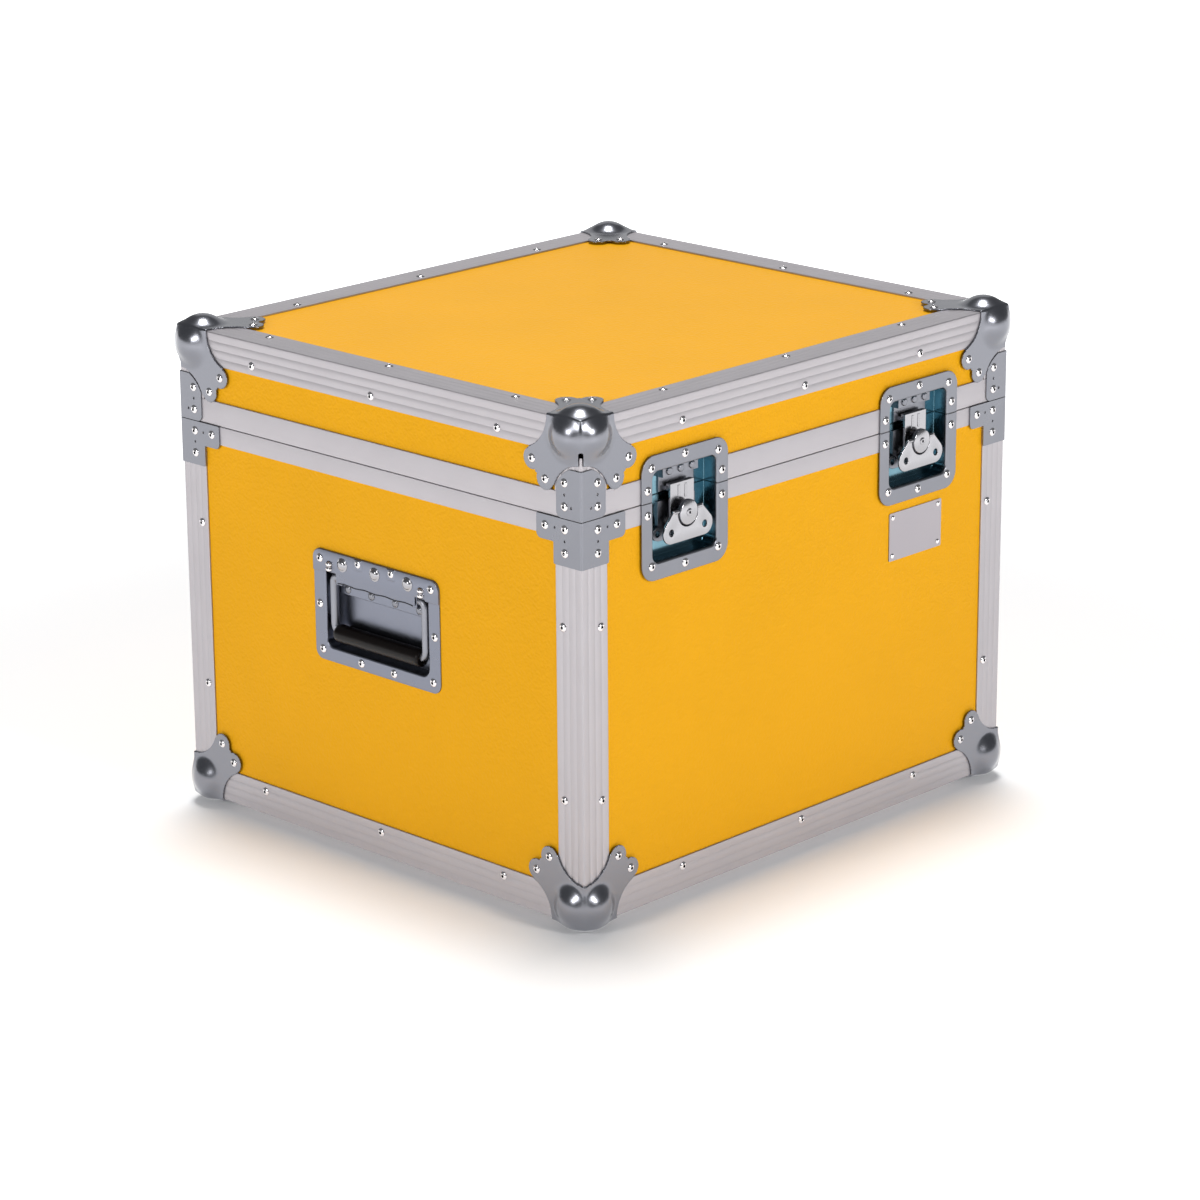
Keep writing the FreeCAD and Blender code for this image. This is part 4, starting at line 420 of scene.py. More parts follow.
def rounded_loop(corners):
    """Closed outline from corners (u, v, radius), each radius drawn as a short arc."""
    loop = []
    for i, (u, v, radius) in enumerate(corners):
        here = Vector((u, v))
        if not radius:
            loop.append(here)
            continue
        before = (Vector(corners[i - 1][:2]) - here).normalized()
        after = (Vector(corners[(i + 1) % len(corners)][:2]) - here).normalized()
        half = before.angle(after) / 2
        middle = here + (before + after).normalized() * (radius / math.sin(half))
        start = here + before * (radius / math.tan(half)) - middle
        end = here + after * (radius / math.tan(half)) - middle
        loop += [middle + start.lerp(end, step / ARC_STEPS).normalized() * radius
                 for step in range(ARC_STEPS + 1)]
    return loop


def bar(section, corner, along, across, up, ends):
    """Prism of a section in millimetres, and the matrix that puts its length on local X.

    ends gives, for both ends, the place along the bar and how much it shifts for each step across.
    """
    third = along.cross(across)
    turn = 1 if third.dot(up) > 0 else -1
    build = bmesh.new()
    rings = [
        [build.verts.new(((at + lean * u) * MM, u * MM, turn * v * MM)) for u, v in section]
        for at, lean in ends
    ]
    join(build, *rings)
    for ring in rings:
        build.faces.new(ring)
    matrix = Matrix((along, across, third)).transposed().to_4x4()
    matrix.translation = corner
    return build, matrix


def add_plate(build, loops, middle, thickness, edge, steps=2):
    """Add a flat plate with rounded edges to a mesh, in millimetres.

    loops are closed outlines in the plate's plane (across, up): the outside runs anticlockwise and holes
    run clockwise. middle is (across, depth, up) of their origin, halfway through the plate.
    """
    flat = thickness / 2 - edge
    bend = [(edge - edge * math.cos(a), flat + edge * math.sin(a))
            for a in (math.pi / 2 * k / steps for k in range(steps + 1))]
    profile = [(inset, -height) for inset, height in reversed(bend)] + bend
    caps = ([], [])
    for loop in loops:
        count = len(loop)
        inward = []
        for i, here in enumerate(loop):
            before = (Vector(here) - Vector(loop[i - 1])).normalized()
            after = (Vector(loop[(i + 1) % count]) - Vector(here)).normalized()
            mitre = Vector((-before.y - after.y, before.x + after.x)) / (1 + max(before.dot(after), -0.5))
            inward.append(mitre)
        rings = []
        for inset, height in profile:
            spots = [Vector(here) + side * inset for here, side in zip(loop, inward)]
            rings.append([
                build.verts.new(Vector((middle[0] + s.x, middle[1] - height, middle[2] + s.y)) * MM)
                for s in spots])
        for one, two in zip(rings, rings[1:]):
            join(build, one, two)
        for cap, ring in zip(caps, (rings[0], rings[-1])):
            cap += [build.edges.get((ring[i], ring[(i + 1) % count])) for i in range(count)]
    for cap in caps:
        bmesh.ops.triangle_fill(build, edges=cap, use_beauty=True)


def add_tube(build, path, radius, sides=6, material=0):
    """Add a round wire along a path in millimetres to a mesh."""
    rings = []
    turn, last = None, None
    for i, here in enumerate(path):
        along = (path[min(i + 1, len(path) - 1)] - path[max(i - 1, 0)]).normalized()
        turn = along.to_track_quat("Z", "Y") if turn is None else last.rotation_difference(along) @ turn
        last = along
        rings.append([build.verts.new((here + turn @ spot) * MM) for spot in circle(radius, sides)])
    for one, two in zip(rings, rings[1:]):
        join(build, one, two, material)
    for ring in (rings[0], rings[-1]):
        build.faces.new(ring).material_index = material


def arc(centre, radius, start, stop, steps):
    """Points of an arc, angles in degrees."""
    angles = [math.radians(start + (stop - start) * k / steps) for k in range(steps + 1)]
    return [(centre[0] + radius * math.cos(a), centre[1] + radius * math.sin(a)) for a in angles]


def wall_matrix(inward, origin):
    """Place of a piece drawn as (across, depth, up) on a wall."""
    matrix = Matrix((inward.cross(UP), inward, UP)).transposed().to_4x4()
    matrix.translation = origin
    return matrix


# Aluminium edging


def edge_section():
    """Outer angle with three grooves in each leg and a rounded corner, and the fins behind the boards."""
    deep = sizes().groove_depth / MM
    wide = sizes().groove_width / MM / 2
    grooves = []
    for share in (0.25, 0.5, 0.75):
        at = share * LEG
        grooves += [(at - wide, 0), (at - wide * 0.4, deep), (at + wide * 0.4, deep), (at + wide, 0)]
    first = [(u, v, 0) for u, v in grooves]
    second = [(v, u, 0) for u, v in reversed(grooves)]
    return rounded_loop([
        (0, 0, sizes().corner_round / MM), *first,
        (LEG, 0, 0.6), (LEG, WALL, 0.3), (CHANNEL, WALL, 0), (CHANNEL, INNER, 0), (FIN, INNER, 0.4),
        (FIN, CHANNEL, 0.4), (CHANNEL, CHANNEL, 0), (CHANNEL, FIN, 0.4), (INNER, FIN, 0.4),
        (INNER, CHANNEL, 0), (WALL, CHANNEL, 0), (WALL, LEG, 0.3), (0, LEG, 0.6), *second,
    ])


class FLIGHTCASE_OT_edging(bpy.types.Operator):
    """Build the edge extrusions of base and lid"""

    bl_idname = "flight_case.edging"
    bl_label = "Edge extrusions"

    def execute(self, context):
        section = edge_section()
        for body, level, up, (low, high) in (
                ("base", BOTTOM, 1, (BOTTOM / MM + EDGE_END, SEAM / MM - BASE_RIM)),
                ("lid", TOP, -1, (SEAM / MM + LID_RIM, TOP / MM - EDGE_END))):
            for label, foot, along, inward, half in WALLS:
                reach = half / MM - EDGE_END
                build, matrix = bar(section, foot + UP * level, along, inward, UP * up,
                                    ((-reach, 0), (reach, 0)))
                name = f"{body}_{label}_edge"
                piece(name, mesh_from(name, build), matrix, body, "aluminium", "edge_extrusion",
                      f"{body}_edges")
            for i, (sx, sy) in enumerate(CORNERS):
                build, matrix = bar(section, Vector((sx * HALF_X, sy * HALF_Y, 0)), UP,
                                    Vector((-sx, 0, 0)), Vector((0, -sy, 0)), ((low, 0), (high, 0)))
                name = f"{body}_upright_{i + 1}"
                piece(name, mesh_from(name, build), matrix, body, "aluminium", "edge_extrusion",
                      f"{body}_uprights")
        return {"FINISHED"}


def base_rim_section():
    """Channel over the board's edge with a tongue on top; heights from the seam."""
    top = -SEAM_GAP / 2
    crest = top + TONGUE
    return rounded_loop([
        (0, -BASE_RIM, 0.6), (WALL, -BASE_RIM, 0.3), (WALL, -BASE_WEB, 0), (INNER, -BASE_WEB, 0),
        (INNER, -BASE_RIM, 0.3), (CHANNEL, -BASE_RIM, 0.6), (CHANNEL, top, 0.6), (TONGUE_END, top, 0.3),
        (TONGUE_END, crest, 0.8), (TONGUE_START, crest, 0.8), (TONGUE_START, top, 0.3), (0, top, 0.6),
    ])


def lid_rim_section():
    """Channel over the board's edge with a groove below; heights from the seam."""
    low = SEAM_GAP / 2
    roof = -SEAM_GAP / 2 + TONGUE + GROOVE_ROOM
    start, end = TONGUE_START - GROOVE_ROOM, TONGUE_END + GROOVE_ROOM
    return rounded_loop([
        (0, low, 0.6), (start, low, 0.4), (start, roof, 0.3), (end, roof, 0.3), (end, low, 0.4),
        (CHANNEL, low, 0.6), (CHANNEL, LID_RIM, 0.6), (INNER, LID_RIM, 0.3), (INNER, LID_WEB, 0),
        (WALL, LID_WEB, 0), (WALL, LID_RIM, 0.3), (0, LID_RIM, 0.6),
    ])


class FLIGHTCASE_OT_rims(bpy.types.Operator):
    """Build the tongue-and-groove rims of base and lid"""

    bl_idname = "flight_case.rims"
    bl_label = "Rims"

    def execute(self, context):
        for body, section in (("base", base_rim_section()), ("lid", lid_rim_section())):
            for label, foot, along, inward, half in WALLS:
                # Each end is mitred; the front rims stop at the latches
                reach = half / MM - MITRE_GAP / 2
                stops = [(-reach, 1), (reach, -1)]
                if label == "front":
                    for place in (-LATCH_X, LATCH_X):
                        stops += [(place - LATCH_ROOM, 0), (place + LATCH_ROOM, 0)]
                stops.sort()
                for i in range(0, len(stops), 2):
                    build, matrix = bar(section, foot + UP * SEAM, along, inward, UP,
                                        (stops[i], stops[i + 1]))
                    name = f"{body}_{label}_rim_{i // 2 + 1}"
                    piece(name, mesh_from(name, build), matrix, body, "aluminium", "edge_extrusion",
                          f"{body}_{label}_rim")
        return {"FINISHED"}


# Pressed ball corners

# Blends between the lobes and between the walls, in millimetres
LOBE_BLEND, WALL_BLEND = 1.2, 2.0
# How the points settle on the sheet: probe in millimetres, least slope, and passes
PROBE, LEAST_SLOPE, PASSES = 0.02, 0.3, 3
# Room round the corner in the grid, in mesh steps
GRID_MARGIN = 2.2


def skin_of(values, origin, step):
    """Points and quads of the surface where a field on a grid changes sign, one point in each cell."""
    cells = tuple(n - 1 for n in values.shape)
    grid = np.stack(np.meshgrid(*[np.arange(n) for n in cells], indexing="ij"), -1).astype(np.float32)
    total = np.zeros((*cells, 3), np.float32)
    count = np.zeros(cells, np.float32)
    for axis in range(3):
        b, c = [a for a in range(3) if a != axis]
        for i in (0, 1):
            for j in (0, 1):
                near = [0, 0, 0]
                near[b], near[c] = i, j
                far = list(near)
                far[axis] = 1
                one = values[tuple(slice(o, o + n) for o, n in zip(near, cells))]
                two = values[tuple(slice(o, o + n) for o, n in zip(far, cells))]
                crossing = (one < 0) != (two < 0)
                share = np.where(crossing, one / np.where(crossing, one - two, 1), 0)
                spot = grid + np.array(near, np.float32)
                spot[..., axis] += share
                total += spot * crossing[..., None]
                count += crossing
    used = count > 0
    number = np.full(cells, -1, int)
    number[used] = np.arange(used.sum())
    points = total[used] / count[used][:, None] * step + origin
    quads = []
    inside = values < 0
    for axis in range(3):
        b, c = (axis + 1) % 3, (axis + 2) % 3
        low, high = [slice(1, -1)] * 3, [slice(1, -1)] * 3
        low[axis], high[axis] = slice(0, -1), slice(1, None)
        spots = np.argwhere(inside[tuple(low)] != inside[tuple(high)])
        spots[:, b] += 1
        spots[:, c] += 1
        ring = []
        for db, dc in ((1, 1), (0, 1), (0, 0), (1, 0)):
            cell = spots.copy()
            cell[:, b] -= db
            cell[:, c] -= dc
            ring.append(number[tuple(cell.T)])
        quads.append(np.stack(ring, 1))
    return points, np.concatenate(quads)


def soft_min(one, two, reach):
    """Smaller of two fields, with a rounded change-over."""
    blend = np.clip(0.5 + 0.5 * (two - one) / reach, 0, 1)
    return two + (one - two) * blend - reach * blend * (1 - blend)


def wing_field(u, v):
    """Outline of a wing in its own plane: two lobes between two arches, negative inside."""
    first = Vector((WING_FAR, WING_NEAR))
    arch = Vector((ARCH, 0))
    touch = arch + (first - arch).normalized() * ARCH_RADIUS
    side = Vector((first.y - touch.y, touch.x - first.x)).normalized()
    outline = (u + v - WING_FAR - WING_NEAR - 2 * WING_VALLEY) / math.sqrt(2)
    for a, b in ((u, v), (v, u)):
        outline = np.maximum(outline, (a - touch.x) * side.x + (b - touch.y) * side.y)
    for a, b in ((u, v), (v, u)):
        outline = soft_min(outline, np.hypot(a - first.x, b - first.y) - WING_LOBE, LOBE_BLEND)
    for a, b in ((u, v), (v, u)):
        outline = np.maximum(outline, ARCH_RADIUS - np.hypot(a - ARCH, b))
    return outline


def ball_field(x, y, z, is_base):
    """Distance to the sheet of a pressed corner, negative inside it."""
    walls = -soft_min(soft_min(x, y, WALL_BLEND), z, WALL_BLEND) - BALL_SHEET
    ball = np.sqrt((x - BALL_INSET) ** 2 + (y - BALL_INSET) ** 2 + (z - BALL_INSET) ** 2) - BALL_RADIUS
    outer = soft_min(walls, ball, sizes().ball_flare / MM)
    field = np.maximum(outer, -(outer + BALL_SHEET))
    lowest = np.minimum(np.minimum(x, y), z)
    outline = np.where(lowest == x, wing_field(y, z), wing_field(x, z))
    outline = np.where(lowest == z, wing_field(x, y), outline)
    field = np.maximum(field, outline)
    if is_base:
        return np.maximum(field, -FOOT_FLAT - z)
    slot = np.hypot((x - y) / math.sqrt(2), np.minimum(z - SLOT_START, 0)) - SLOT_HALF
    slot = np.maximum(slot, (x + y) / math.sqrt(2) - SLOT_REACH)
    return np.maximum(field, -slot)


def ball_mesh(name, is_base):
    """Pressed corner with the case's corner at the origin and the case on the positive side."""
    step = sizes().ball_step / MM
    start = -(BALL_RADIUS - BALL_INSET) - GRID_MARGIN * step
    reach = WING_FAR + WING_LOBE + GRID_MARGIN * step
    ticks = np.arange(start, reach, step)
    grid = np.meshgrid(ticks, ticks, ticks, indexing="ij")
    points, quads = skin_of(ball_field(*grid, is_base), start, step)
    # Each point moves along the field's slope until it lies on the sheet
    for _ in range(PASSES):
        here = ball_field(*points.T, is_base)
        ahead = [ball_field(*(points + probe).T, is_base) - here for probe in np.eye(3) * PROBE]
        slope = np.stack(ahead, 1) / PROBE
        shift = -here / np.maximum((slope ** 2).sum(1), LEAST_SLOPE)
        points = points + slope * np.clip(shift, -step / 2, step / 2)[:, None]
    build = bmesh.new()
    verts = [build.verts.new(point) for point in (points * MM).tolist()]
    for quad in quads.tolist():
        build.faces.new([verts[i] for i in quad])
    return mesh_from(name, build, 50.0)


def corner_matrix(index, level, flipped=False):
    """Place of a corner piece: its own corner at the case's, turned to that corner."""
    sx, sy = CORNERS[index]
    turn = Matrix.Rotation(math.pi / 2 * index, 4, "Z")
    if flipped:
        turn = turn @ Matrix(((0, 1, 0, 0), (1, 0, 0, 0), (0, 0, -1, 0), (0, 0, 0, 1)))
    return Matrix.Translation((sx * HALF_X, sy * HALF_Y, level)) @ turn


class FLIGHTCASE_OT_ball_corners(bpy.types.Operator):
    """Build the pressed ball corners"""

    bl_idname = "flight_case.ball_corners"
    bl_label = "Ball corners"

    def execute(self, context):
        for body, level, is_base in (("base", BOTTOM, True), ("lid", TOP, False)):
            mesh = ball_mesh(f"{body}_ball_corner", is_base)
            for i in range(len(CORNERS)):
                piece(f"{body}_ball_corner_{i + 1}", mesh, corner_matrix(i, level, not is_base), body,
                      "drawn", "ball_corner", f"{body}_ball_corners")
        return {"FINISHED"}


# Corner braces

# Half widths and heights from the seam, in millimetres
BASE_BRACE_LEG, BASE_BRACE_FOOT, BASE_BRACE_ARM, BASE_BRACE_ARM_LOW = 31.3, -41.0, 51.1, -21.6
LID_BRACE_HALF, LID_BRACE_CROWN, LID_BRACE_CORNER = 28.0, 43.3, 5.0
# A corner past the fold closes each outline, and only the half before the fold is kept
PAST_FOLD = -60.0
# Small bare holes: distance from the edge, height and radius
BRACE_HOLES = {"base": ((29.7, -9.3, 1.1), (18.3, -19.5, 1.1)), "lid": ((10.6, 10.5, 1.1), (18.3, 20.7, 1.1))}
HOLE_SIDES, BEND_STEPS, CROWN_STEPS = 12, 4, 12


def brace_mesh(name, outline, holes):
    """Sheet bent round the case's edge, from half an outline (distance from the edge, height)."""
    bend = BRACE_BEND * math.pi / 4
    inset = BRACE_BEND - BRACE_SHEET

    def unrolled(distance):
        return distance - inset + bend

    right = [(unrolled(d), z) for d, z in outline]
    loop = right + [(-s, z) for s, z in reversed(right)]
    build = bmesh.new()
    rings = [loop]
    for d, z, radius in holes:
        for sign in (-1, 1):
            rings.append([(sign * unrolled(d) + spot.x, z + spot.y) for spot in circle(radius, HOLE_SIDES)])
    edges = []
    for ring in rings:
        verts = [build.verts.new((s, z, 0)) for s, z in ring]
        edges += [build.edges.new((verts[i], verts[(i + 1) % len(verts)])) for i in range(len(verts))]
    bmesh.ops.triangle_fill(build, edges=edges, use_beauty=True)
    for k in range(-BEND_STEPS, BEND_STEPS + 1):
        geometry = build.verts[:] + build.edges[:] + build.faces[:]
        bmesh.ops.bisect_plane(build, geom=geometry, plane_co=(k * bend / BEND_STEPS, 0, 0),
                               plane_no=(1, 0, 0))
    for vert in build.verts:
        s, z, _ = vert.co
        if s > bend:
            spot = (inset + s - bend, -BRACE_SHEET)
        elif s < -bend:
            spot = (-BRACE_SHEET, inset - s - bend)
        else:
            angle = math.radians(225) + s / BRACE_BEND
            spot = (inset + BRACE_BEND * math.cos(angle), inset + BRACE_BEND * math.sin(angle))
        vert.co = Vector((*spot, z)) * MM
    bmesh.ops.recalc_face_normals(build, faces=build.faces)
    flat = next(f for f in build.faces if f.calc_center_median().x > BRACE_BEND * MM)
    if flat.normal.y > 0:
        bmesh.ops.reverse_faces(build, faces=build.faces)
    mesh = bpy.data.meshes.new(name)
    build.to_mesh(mesh)
    build.free()
    mesh.shade_smooth()
    return baked(
        mesh,
        ("SOLIDIFY", {"thickness": BRACE_SHEET * MM, "offset": -1.0, "use_even_offset": True}),
        ("BEVEL", {"width": sizes().edge_round, "segments": 2, "limit_method": "ANGLE",
                   "angle_limit": math.radians(50)}),
        ("WEIGHTED_NORMAL", {"keep_sharp": True, "weight": 100}))


def base_brace_outline():
    """Leg down the upright and arm along the rim; heights from the seam."""
    top = -SEAM_GAP / 2
    corners = rounded_loop([
        (PAST_FOLD, BASE_BRACE_FOOT, 0), (BASE_BRACE_LEG, BASE_BRACE_FOOT, 1.5),
        (BASE_BRACE_LEG, BASE_BRACE_ARM_LOW, 1.0), (BASE_BRACE_ARM, BASE_BRACE_ARM_LOW, 5.0),
        (BASE_BRACE_ARM, top, 1.0), (PAST_FOLD, top, 0)])
    return [(c.x, c.y) for c in corners if c.x > 0]


def lid_brace_outline():
    """Rounded foot and arched top; heights from the seam."""
    low, middle = SEAM_GAP / 2, (TOP - SEAM) / MM - ARCH
    corners = rounded_loop([(PAST_FOLD, low, 0), (LID_BRACE_HALF, low, LID_BRACE_CORNER),
                            (LID_BRACE_HALF, middle, 0)])
    foot = [(c.x, c.y) for c in corners if c.x > 0]
    start = math.degrees(math.acos(LID_BRACE_HALF / BRACE_ARCH))
    stop = math.degrees(math.asin((LID_BRACE_CROWN - middle) / BRACE_ARCH))
    return foot[:-1] + arc((0, middle), BRACE_ARCH, start, stop, CROWN_STEPS)


class FLIGHTCASE_OT_braces(bpy.types.Operator):
    """Build the bent corner braces at the seam"""

    bl_idname = "flight_case.braces"
    bl_label = "Corner braces"

    def execute(self, context):
        for body, outline in (("base", base_brace_outline()), ("lid", lid_brace_outline())):
            mesh = brace_mesh(f"{body}_brace", outline, BRACE_HOLES[body])
            for i in range(len(CORNERS)):
                piece(f"{body}_brace_{i + 1}", mesh, corner_matrix(i, SEAM), body, "zinc", "corner_brace",
                      f"{body}_corner_braces")
        return {"FINISHED"}


# Rivets

RIVET_HEADS = {
    # Height of each head, and its outline, radius and height, from the rim to the middle, in millimetres
    "plain": (1.7, ((3.72, 0.0), (3.9, 0.12), (3.88, 0.34), (3.5, 0.72), (2.9, 1.13), (2.2, 1.46),
                    (1.7, 1.62), (1.5, 1.64), (1.35, 1.55), (1.3, 1.2), (1.3, 0.6), (1.0, 0.45), (0.0, 0.5))),
    "dome": (2.6, ((6.3, 0.0), (6.4, 0.2), (6.1, 0.4), (4.9, 0.45), (4.7, 0.8), (4.2, 1.4), (3.5, 1.9),
                   (2.5, 2.3), (1.3, 2.53), (0.0, 2.6))),
    "stud": (1.7, ((3.75, 0.0), (3.9, 0.15), (3.85, 0.45), (3.5, 0.75), (3.1, 0.8), (2.9, 0.95), (2.6, 1.3),
                   (2.0, 1.55), (1.0, 1.68), (0.0, 1.7))),
    "small": (1.0, ((2.3, 0.0), (2.4, 0.1), (2.3, 0.35), (1.8, 0.72), (1.0, 0.94), (0.0, 1.0))),
}
# Finish of each kind, and how many of its last rings are the sunk mandrel, painted near black for the shade
# in the pit
RIVET_FINISH = {"plain": ("rivet", 4), "dome": ("nickel", 0), "stud": ("zinc", 0), "small": ("rivet", 0)}
RIVET_SINKS = ("rivet", "mandrel_shade", "zinc", "nickel")
STUD_DEPTH, DOME_WIDTH, SMALL_WIDTH = 4.0, 9.0, 6.0
RIVET_TAIL = ((0.0, 0.9), (1.4, 0.75), (2.2, 0.3), (2.4, -0.4))


def rivet_places(node):
    """Kind of head, outer end, inner end and outward direction of each rivet in a CAD node."""
    build = bmesh.new()
    build.from_mesh(NODES[node].data)
    bmesh.ops.remove_doubles(build, verts=build.verts, dist=2e-6)
    seen, places = set(), []
    for vert in build.verts:
        if vert in seen:
            continue
        seen.add(vert)
        island, waiting = [], [vert]
        while waiting:
            here = waiting.pop()
            island.append(here.co)
            for edge in here.link_edges:
                other = edge.other_vert(here)
                if other not in seen:
                    seen.add(other)
                    waiting.append(other)
        corners = np.array(island)
        low, high = corners.min(0), corners.max(0)
        span, middle = high - low, (low + high) / 2
        axis = min(range(3), key=lambda a: abs(span[(a + 1) % 3] - span[(a + 2) % 3]))
        width = span[(axis + 1) % 3] / MM
        sign = 1 if middle[axis] > MIDDLE[axis] else -1
        out = Vector([sign if a == axis else 0 for a in range(3)])
        tip, tail = Vector(middle), Vector(middle)
        tip[axis], tail[axis] = (high[axis], low[axis]) if sign > 0 else (low[axis], high[axis])
        kind = "dome" if width > DOME_WIDTH else "small" if width < SMALL_WIDTH else "plain"
        if axis == 0 and abs(tip.x) < HALF_X - STUD_DEPTH * MM:
            kind = "stud"
        places.append((kind, tip, tail, out))
    build.free()
    return places


def turned(build, outline, matrix, material=0, core=0, segments=RIVET_SEGMENTS):
    """Add a turned shape to a mesh from its outline, radius and height; core counts the mandrel's rings."""
    rings = []
    for radius, height in outline:
        if radius == 0:
            rings.append([build.verts.new(matrix @ Vector((0, 0, height * MM)))])
            continue
        rings.append([build.verts.new(matrix @ (spot * MM)) for spot in circle(radius, segments, height)])
    for i, (one, two) in enumerate(zip(rings, rings[1:])):
        for k in range(segments):
            n = (k + 1) % segments
            if len(one) == 1:
                face = build.faces.new((one[0], two[k], two[n]))
            elif len(two) == 1:
                face = build.faces.new((one[k], one[n], two[0]))
            else:
                face = build.faces.new((one[k], one[n], two[n], two[k]))
            face.material_index = 1 if i >= len(rings) - 1 - core else material
    for ring in (rings[0], rings[-1]):
        if len(ring) > 1:
            build.faces.new(ring).material_index = material


class FLIGHTCASE_OT_rivets(bpy.types.Operator):
    """Build the rivets of base and lid"""

    bl_idname = "flight_case.rivets"
    bl_label = "Rivets"

    def execute(self, context):
        for body in ("base", "lid"):
            build = bmesh.new()
            for kind, tip, tail, out in rivet_places(f"{body}_rivets"):
                height, outline = RIVET_HEADS[kind]
                material, core = RIVET_FINISH[kind]
                turned(build, outline, Matrix.Translation(tip - out * height * MM) @ facing(out),
                       RIVET_SINKS.index(material), core)
                if kind == "plain":
                    turned(build, RIVET_TAIL, Matrix.Translation(tail) @ facing(-out))
            name = f"{body}_rivet_heads"
            piece(name, mesh_from(name, build, 60.0, RIVET_SINKS), Matrix(), body, "rivet", "rivet",
                  f"{body}_rivets")
        return {"FINISHED"}


# Finishes of the CAD nodes that stay


class FLIGHTCASE_OT_boards(bpy.types.Operator):
    """Give the boards their laminate"""

    bl_idname = "flight_case.boards"
    bl_label = "Boards"

    def execute(self, context):
        finish("board", *[n for n in NODES if n.endswith("_panel")])
        return {"FINISHED"}


# Latch wings, with the rotor's axis at the origin
ROTOR_OFFSET, ROTOR_DROP, WING_DEPTH, WING_SHEET = 3.4, 17.5, -0.6, 2.0
WING_AXIS, EAR_RADIUS, EAR_START, EAR_END, EAR_CHAMFER = 2.4, 1.75, 11.6, 17.2, 0.3
WING_HOLE = (20.6, -14.4)
WING_HOLE_RADIUS, WING_TIP, WING_SHOULDER, WING_NOTCH = 3.0, 9.9, 18.5, 12.3


def latch_wing_mesh(name):
    """Folding key plate with two finger holes, notched round the boss, with an ear at each side of it."""
    high = WING_AXIS + EAR_RADIUS
    reach = Vector(WING_HOLE) - Vector((WING_SHOULDER, WING_AXIS))
    touch = math.degrees(math.atan2(-reach.y, -reach.x) - math.acos(WING_TIP / reach.length))
    left_hole = (-WING_HOLE[0], WING_HOLE[1])
    outline = [
        *arc(WING_HOLE, WING_TIP, -90, touch, 14), (WING_SHOULDER, WING_AXIS), (WING_SHOULDER, high),
        (WING_NOTCH, high), *arc((0, 0), WING_NOTCH, 0, -180, 28), (-WING_NOTCH, high),
        (-WING_SHOULDER, high), (-WING_SHOULDER, WING_AXIS),
        *arc(left_hole, WING_TIP, 180 - touch, 270, 14),
    ]
    holes = [arc(spot, WING_HOLE_RADIUS, 0, -345, 23) for spot in (WING_HOLE, left_hole)]
    build = bmesh.new()
    add_plate(build, [outline, *holes], (0, 0, 0), WING_SHEET, sizes().wing_round / MM, 3)
    length = EAR_END - EAR_START
    slim = EAR_RADIUS - EAR_CHAMFER
    ear = ((slim, 0.0), (EAR_RADIUS, EAR_CHAMFER), (EAR_RADIUS, length - EAR_CHAMFER), (slim, length))
    for sign in (-1, 1):
        turn = Matrix.Rotation(sign * math.pi / 2, 4, "Y")
        turned(build, ear, Matrix.Translation(Vector((sign * EAR_START, 0, WING_AXIS)) * MM) @ turn)
    return mesh_from(name, build)


# Turned parts of a rotor, radius and height outwards from the rim's face
ROTOR_BOSS = ((10.6, -1.3), (11.0, -1.0), (11.0, 1.9), (10.7, 2.45), (10.1, 2.8), (0.0, 2.8))
ROTOR_RIVET = ((3.2, 2.8), (3.4, 2.92), (3.3, 3.2), (2.7, 3.5), (1.9, 3.68), (1.4, 3.7), (1.2, 3.6),
               (1.1, 3.1), (0.0, 3.1))
ROTOR_CAM, ROTOR_SHAFT = ((7.2, -8.0), (7.2, -1.2)), ((4.0, -12.6), (4.0, -7.9))
CAM_THROW, TRUNNION, TRUNNION_END = 3.0, 0.9, 16.6


def latch_rotor_mesh(name):
    """Boss with a riveted face, the cam and shaft behind it, and the wing's trunnions."""
    build = bmesh.new()
    out = facing(FRONT)
    turned(build, ROTOR_BOSS, out, segments=BOSS_SEGMENTS)
    turned(build, ROTOR_RIVET, out, core=2)
    turned(build, ROTOR_CAM, Matrix.Translation((0, 0, -CAM_THROW * MM)) @ out, segments=BOSS_SEGMENTS)
    turned(build, ROTOR_SHAFT, out)
    across = Matrix.Translation((0, WING_DEPTH * MM, WING_AXIS * MM)) @ Matrix.Rotation(math.pi / 2, 4, "Y")
    turned(build, ((TRUNNION, -TRUNNION_END), (TRUNNION, TRUNNION_END)), across)
    # The turned sides get the satin zinc, painted lighter for the light they catch; the faces are polished
    build.normal_update()
    for face in build.faces:
        if abs(face.normal.y) < 0.5 and face.material_index == 0:
            face.material_index = 2
    return mesh_from(name, build, finishes=("nickel", "mandrel_shade", "satin"))


class FLIGHTCASE_OT_latches(bpy.types.Operator):
    """Build the latch rotors and wings and finish the recessed latches"""

    bl_idname = "flight_case.latches"
    bl_label = "Latches"

    def execute(self, context):
        wing, rotor = latch_wing_mesh("latch_key_plate"), latch_rotor_mesh("latch_boss")
        for side, sign in (("left", -1), ("right", 1)):
            name = f"latch_{side}"
            finish("dish", f"{name}_lower_dish", f"{name}_upper_dish")
            finish("zinc", f"{name}_bed", f"{name}_strike")
            finish("nickel", f"{name}_hook")
            axis = Vector((sign * LATCH_X + ROTOR_OFFSET, -HALF_Y / MM, SEAM / MM - ROTOR_DROP)) * MM
            piece(f"{name}_boss", rotor, Matrix.Translation(axis), f"{name}_rotor", "nickel", "latch_key",
                  f"{name}_rotor")
            hung = axis + Vector((0, WING_DEPTH * MM, 0))
            piece(f"{name}_key_plate", wing, Matrix.Translation(hung), f"{name}_wing", "nickel", "latch_key",
                  f"{name}_wing")
        return {"FINISHED"}


